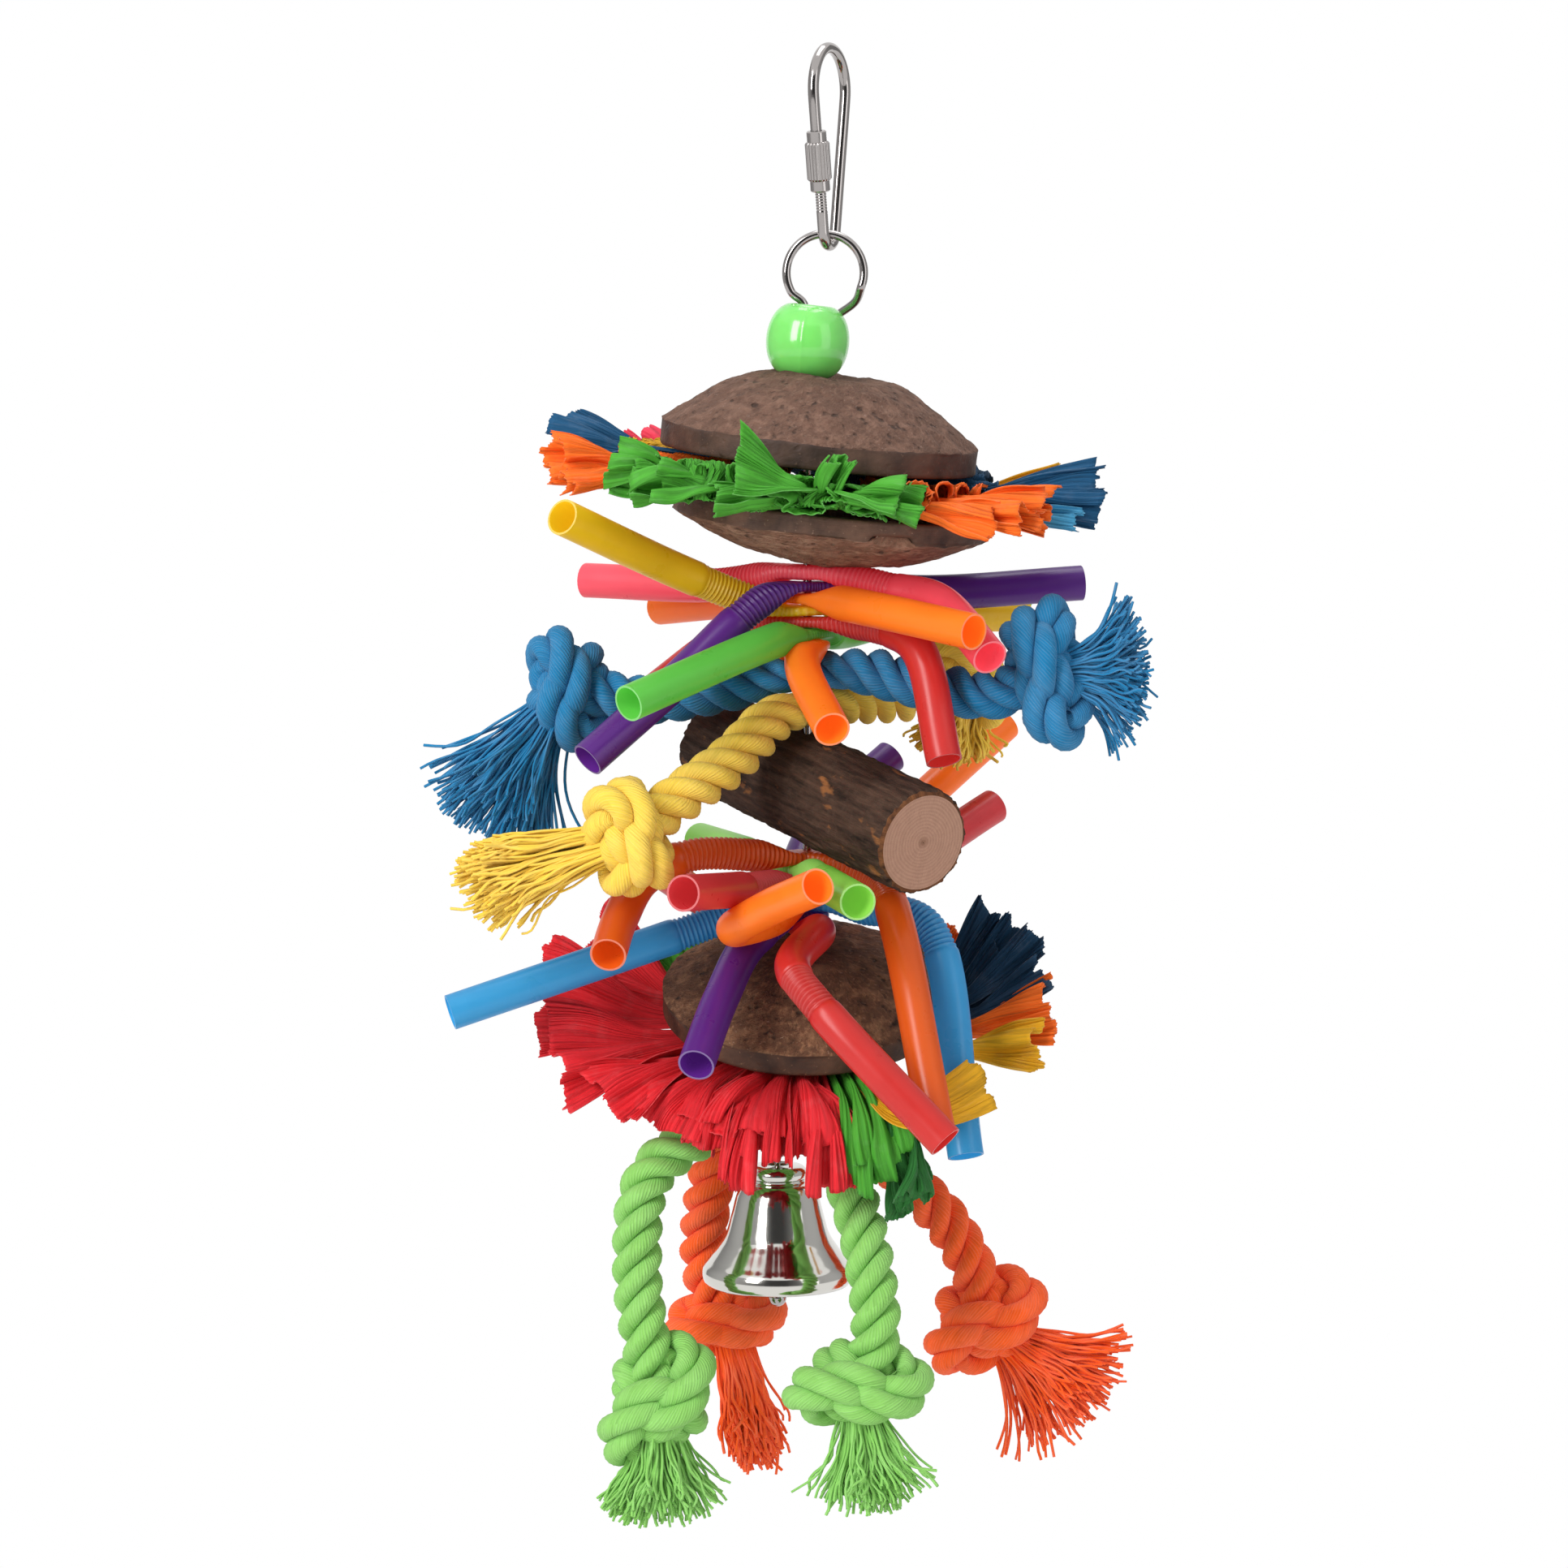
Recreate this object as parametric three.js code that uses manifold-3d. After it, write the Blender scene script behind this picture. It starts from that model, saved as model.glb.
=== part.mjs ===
// Hanging bird toy: shells, paper, straws, ropes and a log threaded on a wire, with a bell at the foot.
// Millimetres, +Z up, viewed from -Y. The origin is the inside of the link's top bow, where it hangs.
import * as THREE from "three";
import { mergeVertices } from "three/addons/utils/BufferGeometryUtils.js";
import Module from "manifold-3d";

const wasm = await Module();
wasm.setup();

// Fits
const FIT = 0.3;

// Quick link
const LINK_WIRE = 2.2;
const LINK_TOP_RADIUS = 8.1;
const LINK_FOOT_RADIUS = 3.0;
const LINK_LENGTH = 38.1;
const LINK_TURN_DEG = 67;
const SLEEVE_LENGTH = 11.8;
const SLEEVE_START = 6.7;
const SLEEVE_GRIP_DIA = 4.8;
const SLEEVE_COLLAR_DIA = 3.9;
const SLEEVE_COLLAR = 2.2;
const GATE_START = 12.4;
const GATE_GAP = 5.0;

// Stem wire
const WIRE = 1.7;
const STEM_X = -4.2;
const EYE_RADIUS = 7.55;
const EYE_X = -0.8;
const EYE_TIP_REACH = 9.3;
const EYE_TIP_DROP = 8.2;
const FOOT_EYE_RADIUS = 2.2;
const FOOT_X = -10.1;

// Bead
const BEAD_DIA = 16.3;
const BEAD_HEIGHT = 13.8;
const BEAD_BORE = WIRE * 2.7;
const BEAD_DROP = 6.2;

// Coconut caps
const CAP_RADIUS = 31.2;
const LOWER_CAP_RADIUS = 28.8;
const CAP_WALL = 4.2;
const UPPER_DOME = 10.6;
const UPPER_BAND = 5.0;
const UNDER_DOME = 8.2;
const UNDER_BAND = 4.0;
const LOWER_DOME = 8.6;
const LOWER_BAND = 4.4;
const CAP_SHIFT = 3.6;
const CAP_ROLL_DEG = 6;
const CAP_PITCH_DEG = 3;
const LOWER_PITCH_DEG = 20;

// Paper
const PAPER_GAP = 8.6;
const PAPER_THICK = 1.2;
const PAPER_HEIGHT = PAPER_GAP - 1.0;
const PAPER_CLEAR = 1.7;

// Straws
const STRAW_DIA = 7.0;
const STRAW_DRAWN = 7.0;
const strawSize = STRAW_DIA / STRAW_DRAWN;
const STRAW_WALL = 0.45;
const STRAW_FLAT = 2.0 * strawSize;
const STRAW_FLAT_WIDTH = 9.0 * strawSize;
const STRAW_FLAT_REACH = 5.0 * strawSize;
const STRAW_ROUND_REACH = 15.0 * strawSize;
const RIB_DIA = 6.2 * strawSize;
const RIB_ROOT_DIA = 5.4 * strawSize;
const RIB_REACH = 23.0 * strawSize;
const ARM_RIBS = 2;
const STRAW_SIDES = 8;

// Ropes
const ROPE_DIA = 10.0;
const ROPE_DRAWN = 10.0;
const ropeSize = ROPE_DIA / ROPE_DRAWN;
const ROPE_FLAT = 7.4 * ropeSize;
const ROPE_FLAT_WIDTH = 11.6 * ropeSize;
const ROPE_FLAT_REACH = 3.0 * ropeSize;
const ROPE_ROUND_REACH = 16.0 * ropeSize;
const ROPE_STEP = 9.0 * ropeSize;
const ROPE_SIDES = 8;

// Log
const LOG_DIA = 21.5;
const LOG_LENGTH = 70;
const LOG_NEAR = 39;
const LOG_AXIS = new THREE.Vector3(0.56, -0.8, -0.2).normalize();
const LOG_SIDES = 18;

// Bell
const BELL_RADIUS = 15.0;
const BELL_HEIGHT = 24.0;
const BELL_WALL = 0.9;
const HANGER_WIRE = 1.2;
const HANGER_RADIUS = 1.75;
const HANGER_WIDEN = 1.5;
const HANGER_DEPTH = 4.6;
const HANGER_ELBOW = 2.2;
const CLAPPER_WIRE = 1.0;
const CLAPPER_BALL = 3.6;
const CLAPPER_RING = 1.5;
const CLAPPER_DROP = 3.0;
const CROWN_DROP = 1.2;

// Small helpers
const vec = (x, y, z) => new THREE.Vector3(x, y, z);
const rad = THREE.MathUtils.degToRad;
const lerp = THREE.MathUtils.lerp;
const smooth = THREE.MathUtils.smoothstep;
const UP = vec(0, 0, 1);
const toy = new THREE.Group();
toy.name = "hanging_bird_toy";

function solid(geometry) {
  const loose = geometry.index ? geometry.toNonIndexed() : geometry;
  const plain = new THREE.BufferGeometry();
  plain.setAttribute("position", loose.getAttribute("position"));
  const merged = mergeVertices(plain, 1e-4);
  const vertProperties = merged.attributes.position.array;
  const triVerts = new Uint32Array(merged.index.array);
  return new wasm.Manifold(new wasm.Mesh({ numProp: 3, vertProperties, triVerts }));
}

function place(name, body, colour, roughness, metalness) {
  const mesh = body.getMesh();
  const geometry = new THREE.BufferGeometry();
  const positions = new Float32Array(mesh.vertProperties);
  geometry.setAttribute("position", new THREE.BufferAttribute(positions, 3));
  geometry.setIndex(new THREE.BufferAttribute(new Uint32Array(mesh.triVerts), 1));
  geometry.computeVertexNormals();
  const material = new THREE.MeshStandardMaterial({ color: colour, roughness, metalness });
  const piece = new THREE.Mesh(geometry, material);
  piece.name = name;
  toy.add(piece);
}

// A solid of revolution about Z from a profile of [radius, height] points.
function lathe(profile, sides) {
  const points = profile.map(([r, z]) => new THREE.Vector2(r, z));
  const made = (row) => new THREE.LatheGeometry(row, sides).rotateX(Math.PI / 2);
  const body = solid(made(points));
  return body.volume() > 0 ? body : solid(made(points.reverse()));
}

function moved(body, matrix) {
  return body.transform(matrix.elements);
}

// Closed skin over a row of rings; inner rings, if given, make it a tube with an open bore.
function skin(outer, inner) {
  const sides = outer[0].length;
  const corners = [];
  const add = (a, b, c) => corners.push(a.x, a.y, a.z, b.x, b.y, b.z, c.x, c.y, c.z);
  const wall = (rings, outwards) => {
    for (let i = 0; i + 1 < rings.length; i++) {
      for (let j = 0; j < sides; j++) {
        const k = (j + 1) % sides;
        const quad = [rings[i][j], rings[i][k], rings[i + 1][k], rings[i + 1][j]];
        if (!outwards) quad.reverse();
        add(quad[0], quad[1], quad[2]);
        add(quad[0], quad[2], quad[3]);
      }
    }
  };
  const end = (ring, hole, forwards) => {
    const middle = ring.reduce((sum, p) => sum.add(p), vec(0, 0, 0)).divideScalar(sides);
    for (let j = 0; j < sides; j++) {
      const k = (j + 1) % sides;
      const [a, b] = forwards ? [j, k] : [k, j];
      add(hole ? hole[a] : middle, ring[a], ring[b]);
      if (hole) add(hole[a], ring[b], hole[b]);
    }
  };
  wall(outer, true);
  if (inner) wall(inner, false);
  end(outer[0], inner && inner[0], false);
  end(outer[outer.length - 1], inner && inner[inner.length - 1], true);
  const geometry = new THREE.BufferGeometry();
  geometry.setAttribute("position", new THREE.Float32BufferAttribute(corners, 3));
  return solid(geometry);
}

// A smooth route through points, measured from the point at index `zero`, with frames carried along it.
function route(points, zero) {
  const curve = new THREE.CatmullRomCurve3(points, false, "centripetal");
  const dense = 40;
  const count = dense * (points.length - 1);
  const dots = [];
  for (let i = 0; i <= count; i++) dots.push(curve.getPoint(i / count));
  const along = [0];
  for (let i = 1; i <= count; i++) along.push(along[i - 1] + dots[i].distanceTo(dots[i - 1]));
  const start = dense * zero;
  const tangents = dots.map((_, i) => {
    const before = dots[Math.max(0, i - 1)];
    const after = dots[Math.min(count, i + 1)];
    return after.clone().sub(before).normalize();
  });
  const normals = [];
  const first = Math.abs(tangents[start].z) < 0.9 ? UP : vec(0, -1, 0);
  normals[start] = first.clone().addScaledVector(tangents[start], -first.dot(tangents[start])).normalize();
  const turn = new THREE.Quaternion();
  const carry = (from, to) => {
    turn.setFromUnitVectors(tangents[from], tangents[to]);
    normals[to] = normals[from].clone().applyQuaternion(turn);
  };
  for (let i = start; i < count; i++) carry(i, i + 1);
  for (let i = start; i > 0; i--) carry(i, i - 1);
  const frame = (s) => {
    const want = s + along[start];
    let i = 0;
    while (i < count - 1 && along[i + 1] < want) i++;
    const t = (want - along[i]) / (along[i + 1] - along[i]);
    const tangent = tangents[i].clone().lerp(tangents[i + 1], t).normalize();
    const normal = normals[i].clone().lerp(normals[i + 1], t);
    normal.addScaledVector(tangent, -normal.dot(tangent)).normalize();
    const side = normal.clone().cross(tangent);
    return { point: dots[i].clone().lerp(dots[i + 1], t), tangent, normal, side };
  };
  const stops = points.map((_, i) => along[dense * i] - along[start]);
  return { frame, stops, from: -along[start], to: along[count] - along[start] };
}

function ringAt(path, s, halfWidth, halfHeight, sides) {
  const { point, normal, side } = path.frame(s);
  const ring = [];
  for (let j = 0; j < sides; j++) {
    const angle = ((j + 0.5) / sides) * 2 * Math.PI;
    const spot = point.clone().addScaledVector(side, halfWidth * Math.cos(angle));
    ring.push(spot.addScaledVector(normal, halfHeight * Math.sin(angle)));
  }
  return ring;
}

// A plain round wire bent at each of its points.
function wireThrough(points, dia, sides) {
  const path = route(points, 0);
  return skin(path.stops.map((s) => ringAt(path, s, dia / 2, dia / 2, sides)));
}

// Heights down the stem, each from the piece above it
const strawPitch = STRAW_FLAT + FIT;
const ropePitch = ROPE_FLAT + FIT;
const eyeZ = LINK_WIRE - LINK_LENGTH + FIT + WIRE / 2 - EYE_RADIUS;
const beadTop = eyeZ - BEAD_DROP;
const beadFoot = beadTop - BEAD_HEIGHT;
const upperCapTop = beadFoot - FIT;
const upperRim = upperCapTop - UPPER_DOME - UPPER_BAND;
const underRim = upperRim - PAPER_GAP;
const underFoot = underRim - UNDER_DOME - UNDER_BAND;
const pairTiltRad = rad(Math.hypot(CAP_ROLL_DEG, CAP_PITCH_DEG));
const underDomeRadius = (CAP_RADIUS ** 2 + UNDER_DOME ** 2) / (2 * UNDER_DOME);
const underCapSag = underDomeRadius * (1 - Math.cos(pairTiltRad)) + CAP_SHIFT * Math.tan(pairTiltRad) / 2;
const upperStrawTop = underFoot - 2 * FIT - STRAW_FLAT / 2 - underCapSag;
const upperStraws = 7;
const blueRopeZ = upperStrawTop - (upperStraws - 1) * strawPitch - strawPitch / 2 - ropePitch / 2;
const yellowRopeZ = blueRopeZ - ropePitch;
const logHalf = LOG_DIA / 2 / Math.hypot(LOG_AXIS.x, LOG_AXIS.y);
const logZ = yellowRopeZ - ropePitch / 2 - logHalf - FIT;
const logSlope = -LOG_AXIS.z / Math.hypot(LOG_AXIS.x, LOG_AXIS.y);
const lowerStrawTop = logZ - logHalf - FIT - STRAW_FLAT / 2 - STRAW_FLAT_WIDTH * logSlope;
const lowerStraws = 7;
const lowerDomeRadius = (LOWER_CAP_RADIUS ** 2 + LOWER_DOME ** 2) / (2 * LOWER_DOME);
const lowerCapRise = lowerDomeRadius * (1 - Math.cos(rad(LOWER_PITCH_DEG)));
const lowerCapTop = lowerStrawTop - (lowerStraws - 1) * strawPitch - strawPitch / 2 - lowerCapRise;
const bendZ = lowerCapTop - LOWER_DOME - LOWER_BAND;
const orangeRopeZ = bendZ - PAPER_HEIGHT - PAPER_CLEAR;
const greenRopeZ = orangeRopeZ - ropePitch;
const footEyeTop = greenRopeZ - ropePitch / 2 - WIRE / 2 - FIT;

// Quick link: a pear-shaped wire with a gate gap that the screw sleeve covers
const linkTopZ = LINK_WIRE / 2 - LINK_TOP_RADIUS;
const linkFootZ = LINK_WIRE / 2 - LINK_LENGTH + LINK_FOOT_RADIUS;
const linkTaper = Math.asin((LINK_TOP_RADIUS - LINK_FOOT_RADIUS) / (linkTopZ - linkFootZ));
const linkAcross = vec(Math.cos(rad(LINK_TURN_DEG)), Math.sin(rad(LINK_TURN_DEG)), 0);
const linkSpot = (across, z) => linkAcross.clone().multiplyScalar(across).setZ(z);
const legOut = [-Math.cos(linkTaper), -Math.sin(linkTaper)];
const legTop = linkSpot(LINK_TOP_RADIUS * legOut[0], linkTopZ + LINK_TOP_RADIUS * legOut[1]);
const legFoot = linkSpot(LINK_FOOT_RADIUS * legOut[0], linkFootZ + LINK_FOOT_RADIUS * legOut[1]);
const legDown = legFoot.clone().sub(legTop).normalize();

function arcSpots(radius, centreZ, fromDeg, toDeg, steps) {
  const spots = [];
  for (let i = 0; i <= steps; i++) {
    const angle = rad(lerp(fromDeg, toDeg, i / steps));
    spots.push(linkSpot(radius * Math.cos(angle), centreZ + radius * Math.sin(angle)));
  }
  return spots;
}

function quickLink() {
  const lean = THREE.MathUtils.radToDeg(linkTaper);
  const spots = [legTop.clone().addScaledVector(legDown, GATE_START)];
  spots.push(legTop.clone().addScaledVector(legDown, GATE_START / 2));
  spots.push(...arcSpots(LINK_TOP_RADIUS, linkTopZ, 180 + lean, -lean, 10));
  spots.push(...arcSpots(LINK_FOOT_RADIUS, linkFootZ, -lean, lean - 180, 8));
  spots.push(legTop.clone().addScaledVector(legDown, GATE_START + GATE_GAP));
  return wireThrough(spots, LINK_WIRE, 8);
}

function linkSleeve() {
  const bore = LINK_WIRE / 2 + FIT;
  const half = SLEEVE_LENGTH / 2;
  const grip = half - SLEEVE_COLLAR;
  const body = lathe(
    [
      [bore, -half],
      [SLEEVE_COLLAR_DIA / 2, -half],
      [SLEEVE_COLLAR_DIA / 2, -grip],
      [SLEEVE_GRIP_DIA / 2, -grip],
      [SLEEVE_GRIP_DIA / 2, grip],
      [SLEEVE_COLLAR_DIA / 2, grip],
      [SLEEVE_COLLAR_DIA / 2, half],
      [bore, half],
      [bore, -half],
    ],
    16,
  );
  const middle = legTop.clone().addScaledVector(legDown, SLEEVE_START + half);
  const turn = new THREE.Quaternion().setFromUnitVectors(UP, legDown.clone().negate());
  return moved(body, new THREE.Matrix4().compose(middle, turn, vec(1, 1, 1)));
}

// Stem wire: the top eye, the long stem, and a small eye at the foot for the bell
const footEyeZ = footEyeTop - FOOT_EYE_RADIUS;
const stemAtFoot = vec(FOOT_X, 0, footEyeTop);

function stemWire() {
  const tip = vec(STEM_X + EYE_TIP_REACH * 0.63, EYE_TIP_REACH * 0.77, eyeZ - EYE_TIP_DROP);
  const shoulder = vec(EYE_X + EYE_RADIUS * 0.8, EYE_TIP_REACH * 0.3, eyeZ - EYE_RADIUS * 0.72);
  const spots = [tip, shoulder];
  const turns = 14;
  for (let i = 0; i <= turns; i++) {
    const angle = rad(lerp(-22, 212, i / turns));
    spots.push(vec(EYE_X + EYE_RADIUS * Math.cos(angle), 0, eyeZ + EYE_RADIUS * Math.sin(angle)));
  }
  spots.push(vec(STEM_X - 0.9, 0, beadTop + 0.4));
  spots.push(vec(STEM_X, 0, beadTop - BEAD_HEIGHT * 0.3));
  spots.push(vec(STEM_X, 0, blueRopeZ), vec(STEM_X, 0, bendZ), stemAtFoot);
  const footTurns = 11;
  for (let i = 1; i <= footTurns; i++) {
    const angle = rad(lerp(100, 430, i / footTurns));
    const x = FOOT_X + FOOT_EYE_RADIUS * Math.cos(angle);
    spots.push(vec(x, 0, footEyeZ + FOOT_EYE_RADIUS * Math.sin(angle) - WIRE));
  }
  return wireThrough(spots, WIRE, 6);
}

// The bore that the stem takes through every threaded piece
function stemBore() {
  const spots = [vec(STEM_X, 0, upperCapTop + 2)];
  const past = stemAtFoot.clone().sub(vec(STEM_X, 0, bendZ)).multiplyScalar(0.15).add(stemAtFoot);
  spots.push(vec(STEM_X, 0, blueRopeZ), vec(STEM_X, 0, bendZ), past);
  const rings = spots.map((spot) => {
    const ring = [];
    const sides = 8;
    for (let j = 0; j < sides; j++) {
      const angle = (-2 * Math.PI * j) / sides;
      const reach = (WIRE / 2 + FIT) / Math.cos(Math.PI / sides);
      ring.push(spot.clone().add(vec(reach * Math.cos(angle), reach * Math.sin(angle), 0)));
    }
    return ring;
  });
  return skin(rings);
}
const bore = stemBore();

// Bead
function bead() {
  const half = BEAD_HEIGHT / 2;
  const hole = BEAD_BORE / 2;
  const profile = [[hole, -half]];
  const steps = 8;
  for (let i = 0; i <= steps; i++) {
    const angle = rad(lerp(-66, 66, i / steps));
    const height = (half * Math.sin(angle)) / Math.sin(rad(66));
    profile.push([(BEAD_DIA / 2) * Math.cos(angle) ** 0.55, height]);
  }
  profile.push([hole, half], [hole, -half]);
  return lathe(profile, 18).translate([STEM_X, 0, beadTop - half]);
}

// Coconut cap: a domed disc with a straight sawn edge, dome up, its top at the origin
function cap(radius, dome, band) {
  const outer = (radius ** 2 + dome ** 2) / (2 * dome);
  const inner = outer - CAP_WALL;
  const profile = [];
  const steps = 5;
  const spread = Math.asin(radius / outer);
  for (let i = 0; i <= steps; i++) {
    const angle = (spread * i) / steps;
    profile.push([outer * Math.sin(angle), outer * Math.cos(angle) - outer]);
  }
  profile.push([radius, -dome - band]);
  const mouth = radius - CAP_WALL;
  profile.push([mouth, -dome - band]);
  const innerSpread = Math.asin(mouth / inner);
  const innerSteps = 3;
  for (let i = innerSteps; i >= 0; i--) {
    const angle = (innerSpread * i) / innerSteps;
    profile.push([inner * Math.sin(angle), inner * Math.cos(angle) - outer]);
  }
  return lathe(profile, 24);
}

const pairTilt = new THREE.Quaternion().setFromEuler(
  new THREE.Euler(rad(CAP_PITCH_DEG), rad(CAP_ROLL_DEG), 0),
);
const lowerTilt = new THREE.Quaternion().setFromEuler(new THREE.Euler(rad(LOWER_PITCH_DEG), 0, 0));
const frameAt = (z, tilt) => new THREE.Matrix4().compose(vec(STEM_X, 0, z), tilt, vec(1, 1, 1));
const shift = new THREE.Matrix4().makeTranslation(CAP_SHIFT, 0, 0);
const overturn = new THREE.Matrix4().makeRotationX(Math.PI);

function caps() {
  const upper = cap(CAP_RADIUS, UPPER_DOME, UPPER_BAND);
  const upperFrame = frameAt(upperCapTop, pairTilt).multiply(shift);
  place("upper_cap", moved(upper, upperFrame).subtract(bore), 0x69503f, 0.9, 0);
  const under = cap(CAP_RADIUS, UNDER_DOME, UNDER_BAND);
  const underFrame = frameAt(underFoot, pairTilt).multiply(shift).multiply(overturn);
  place("under_cap", moved(under, underFrame).subtract(bore), 0x5f4637, 0.9, 0);
  const lower = cap(LOWER_CAP_RADIUS, LOWER_DOME, LOWER_BAND);
  place("lower_cap", moved(lower, frameAt(lowerCapTop, lowerTilt)).subtract(bore), 0x69503f, 0.9, 0);
}

// Pleated paper fan between two directions, its pleats filling `height` and its edge dropping at the end
function paper(frame, fan) {
  const reaches = [fan.inner, fan.rim, (fan.rim + fan.outer) / 2, fan.outer];
  const across = 2 * fan.folds;
  const row = across + 1;
  const top = [];
  const foot = [];
  for (const reach of reaches) {
    const past = Math.max(0, reach - fan.rim) / (fan.outer - fan.rim);
    const pleat = (fan.height - PAPER_THICK) * (1 + fan.flare * past);
    for (let j = 0; j <= across; j++) {
      const angle = rad(lerp(fan.from, fan.to, j / across));
      const fold = pleat * (j % 2 ? 0.5 : -0.5);
      const z = fan.z + fold - fan.drop * past ** 1.5;
      const out = reach - fan.tuck * past ** 2;
      const spot = vec(out * Math.cos(angle), out * Math.sin(angle), z);
      top.push(spot.clone().setZ(z + PAPER_THICK / 2).applyMatrix4(frame));
      foot.push(spot.setZ(z - PAPER_THICK / 2).applyMatrix4(frame));
    }
  }
  const rings = reaches.map((_, i) => {
    const upper = top.slice(i * row, (i + 1) * row);
    const under = foot.slice(i * row, (i + 1) * row).reverse();
    return [...upper, ...under];
  });
  return stripSkin(rings, row);
}

// Closed skin over rings that are thin strips, whose ends close pair by pair.
// Each face of the top half lies straight above one of the lower half, so the strip keeps its thickness.
function stripSkin(rings, row) {
  const sides = 2 * row;
  const corners = [];
  const add = (a, b, c) => corners.push(a.x, a.y, a.z, b.x, b.y, b.z, c.x, c.y, c.z);
  for (let i = 0; i + 1 < rings.length; i++) {
    for (let j = 0; j < sides; j++) {
      const k = (j + 1) % sides;
      const [near, far, nextNear, nextFar] = [rings[i][j], rings[i + 1][j], rings[i][k], rings[i + 1][k]];
      const above = j < row;
      add(near, above ? nextFar : far, nextNear);
      add(above ? near : nextNear, far, nextFar);
    }
  }
  const close = (ring, forwards) => {
    for (let j = 0; j + 1 < row; j++) {
      const quad = [ring[j], ring[j + 1], ring[sides - 2 - j], ring[sides - 1 - j]];
      if (forwards) quad.reverse();
      add(quad[0], quad[1], quad[2]);
      add(quad[0], quad[2], quad[3]);
    }
  };
  close(rings[0], false);
  close(rings[rings.length - 1], true);
  const geometry = new THREE.BufferGeometry();
  geometry.setAttribute("position", new THREE.Float32BufferAttribute(corners, 3));
  return solid(geometry);
}

const upperFan = { inner: 15, rim: CAP_RADIUS + CAP_SHIFT, height: PAPER_HEIGHT, flare: 0.25, z: 0, tuck: 0 };
const upperPapers = [
  { name: "paper_blue_left", colour: 0x14557f, from: 162, to: 184, outer: 48, drop: -2, folds: 2 },
  { name: "paper_orange_left", colour: 0xfa7319, from: 187, to: 211, outer: 50, drop: 3, folds: 2 },
  { name: "paper_green_left", colour: 0x3c9632, from: 214, to: 246, outer: 45, drop: 4, folds: 3 },
  { name: "paper_green_front", colour: 0x46a03c, from: 249, to: 300, outer: 40, drop: 2, folds: 4 },
  { name: "paper_orange_right", colour: 0xfa7319, from: 303, to: 340, outer: 52, drop: 3, folds: 3 },
  { name: "paper_blue_right", colour: 0x14557f, from: 343, to: 366, outer: 58, drop: -2, folds: 2 },
  { name: "paper_yellow_back", colour: 0xebb014, from: 96, to: 150, outer: 44, drop: -3, folds: 4 },
];

const lowerFan = { inner: 17, rim: LOWER_CAP_RADIUS + 1.5, height: PAPER_HEIGHT, flare: 0.3, tuck: 0 };
const lowerPapers = [
  { name: "paper_red_left", colour: 0xc81928, from: 158, to: 212, outer: 52, drop: 2, folds: 4 },
  { name: "paper_red_front", colour: 0xc81928, from: 236, to: 281, outer: 44, drop: 17, folds: 4, tuck: 4 },
  { name: "paper_green_low", colour: 0x3c9632, from: 284, to: 306, outer: 44, drop: 18, folds: 2, tuck: 2 },
  { name: "paper_yellow_low", colour: 0xebb014, from: 333, to: 345, outer: 43, drop: 3, folds: 1 },
  { name: "paper_orange_low", colour: 0xfa7319, from: 347, to: 360, outer: 50, drop: -3, folds: 1 },
  { name: "paper_navy_right", colour: 0x0a3250, from: 363, to: 388, outer: 52, drop: -10, folds: 2 },
  { name: "paper_green_back", colour: 0x3c9632, from: 122, to: 155, outer: 42, drop: -6, folds: 3 },
];

function papers() {
  const upperEdge = vec(0, 0, -UPPER_DOME - UPPER_BAND).applyMatrix4(frameAt(upperCapTop, pairTilt));
  const underEdge = vec(0, 0, UNDER_DOME + UNDER_BAND).applyMatrix4(frameAt(underFoot, pairTilt));
  const upperFrame = frameAt(0, pairTilt).setPosition(upperEdge.add(underEdge).multiplyScalar(0.5));
  for (const fan of upperPapers) {
    const body = paper(upperFrame, { ...upperFan, ...fan });
    place(fan.name, body, fan.colour, 0.85, 0);
  }
  const lowerFrame = frameAt(lowerCapTop, lowerTilt);
  const z = -LOWER_DOME - LOWER_BAND - FIT - PAPER_HEIGHT / 2;
  for (const fan of lowerPapers) {
    const body = paper(lowerFrame, { ...lowerFan, z, ...fan });
    place(fan.name, body, fan.colour, 0.85, 0);
  }
}

// Straw route: points of the left and right arms, measured from the stem at the straw's level.
// They are drawn for a straw of STRAW_DRAWN and grow with it.
function threaded(level, left, right) {
  const spot = ([x, y, z]) => vec(x, y, z).multiplyScalar(strawSize).add(vec(STEM_X, 0, level));
  const near = (arm) => {
    const [x, y] = arm[0];
    const share = STRAW_FLAT_REACH / strawSize / Math.hypot(x, y);
    return spot([x * share, y * share, 0]);
  };
  const points = [...left.map(spot).reverse(), near(left), spot([0, 0, 0]), near(right), ...right.map(spot)];
  return route(points, left.length + 1);
}

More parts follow.
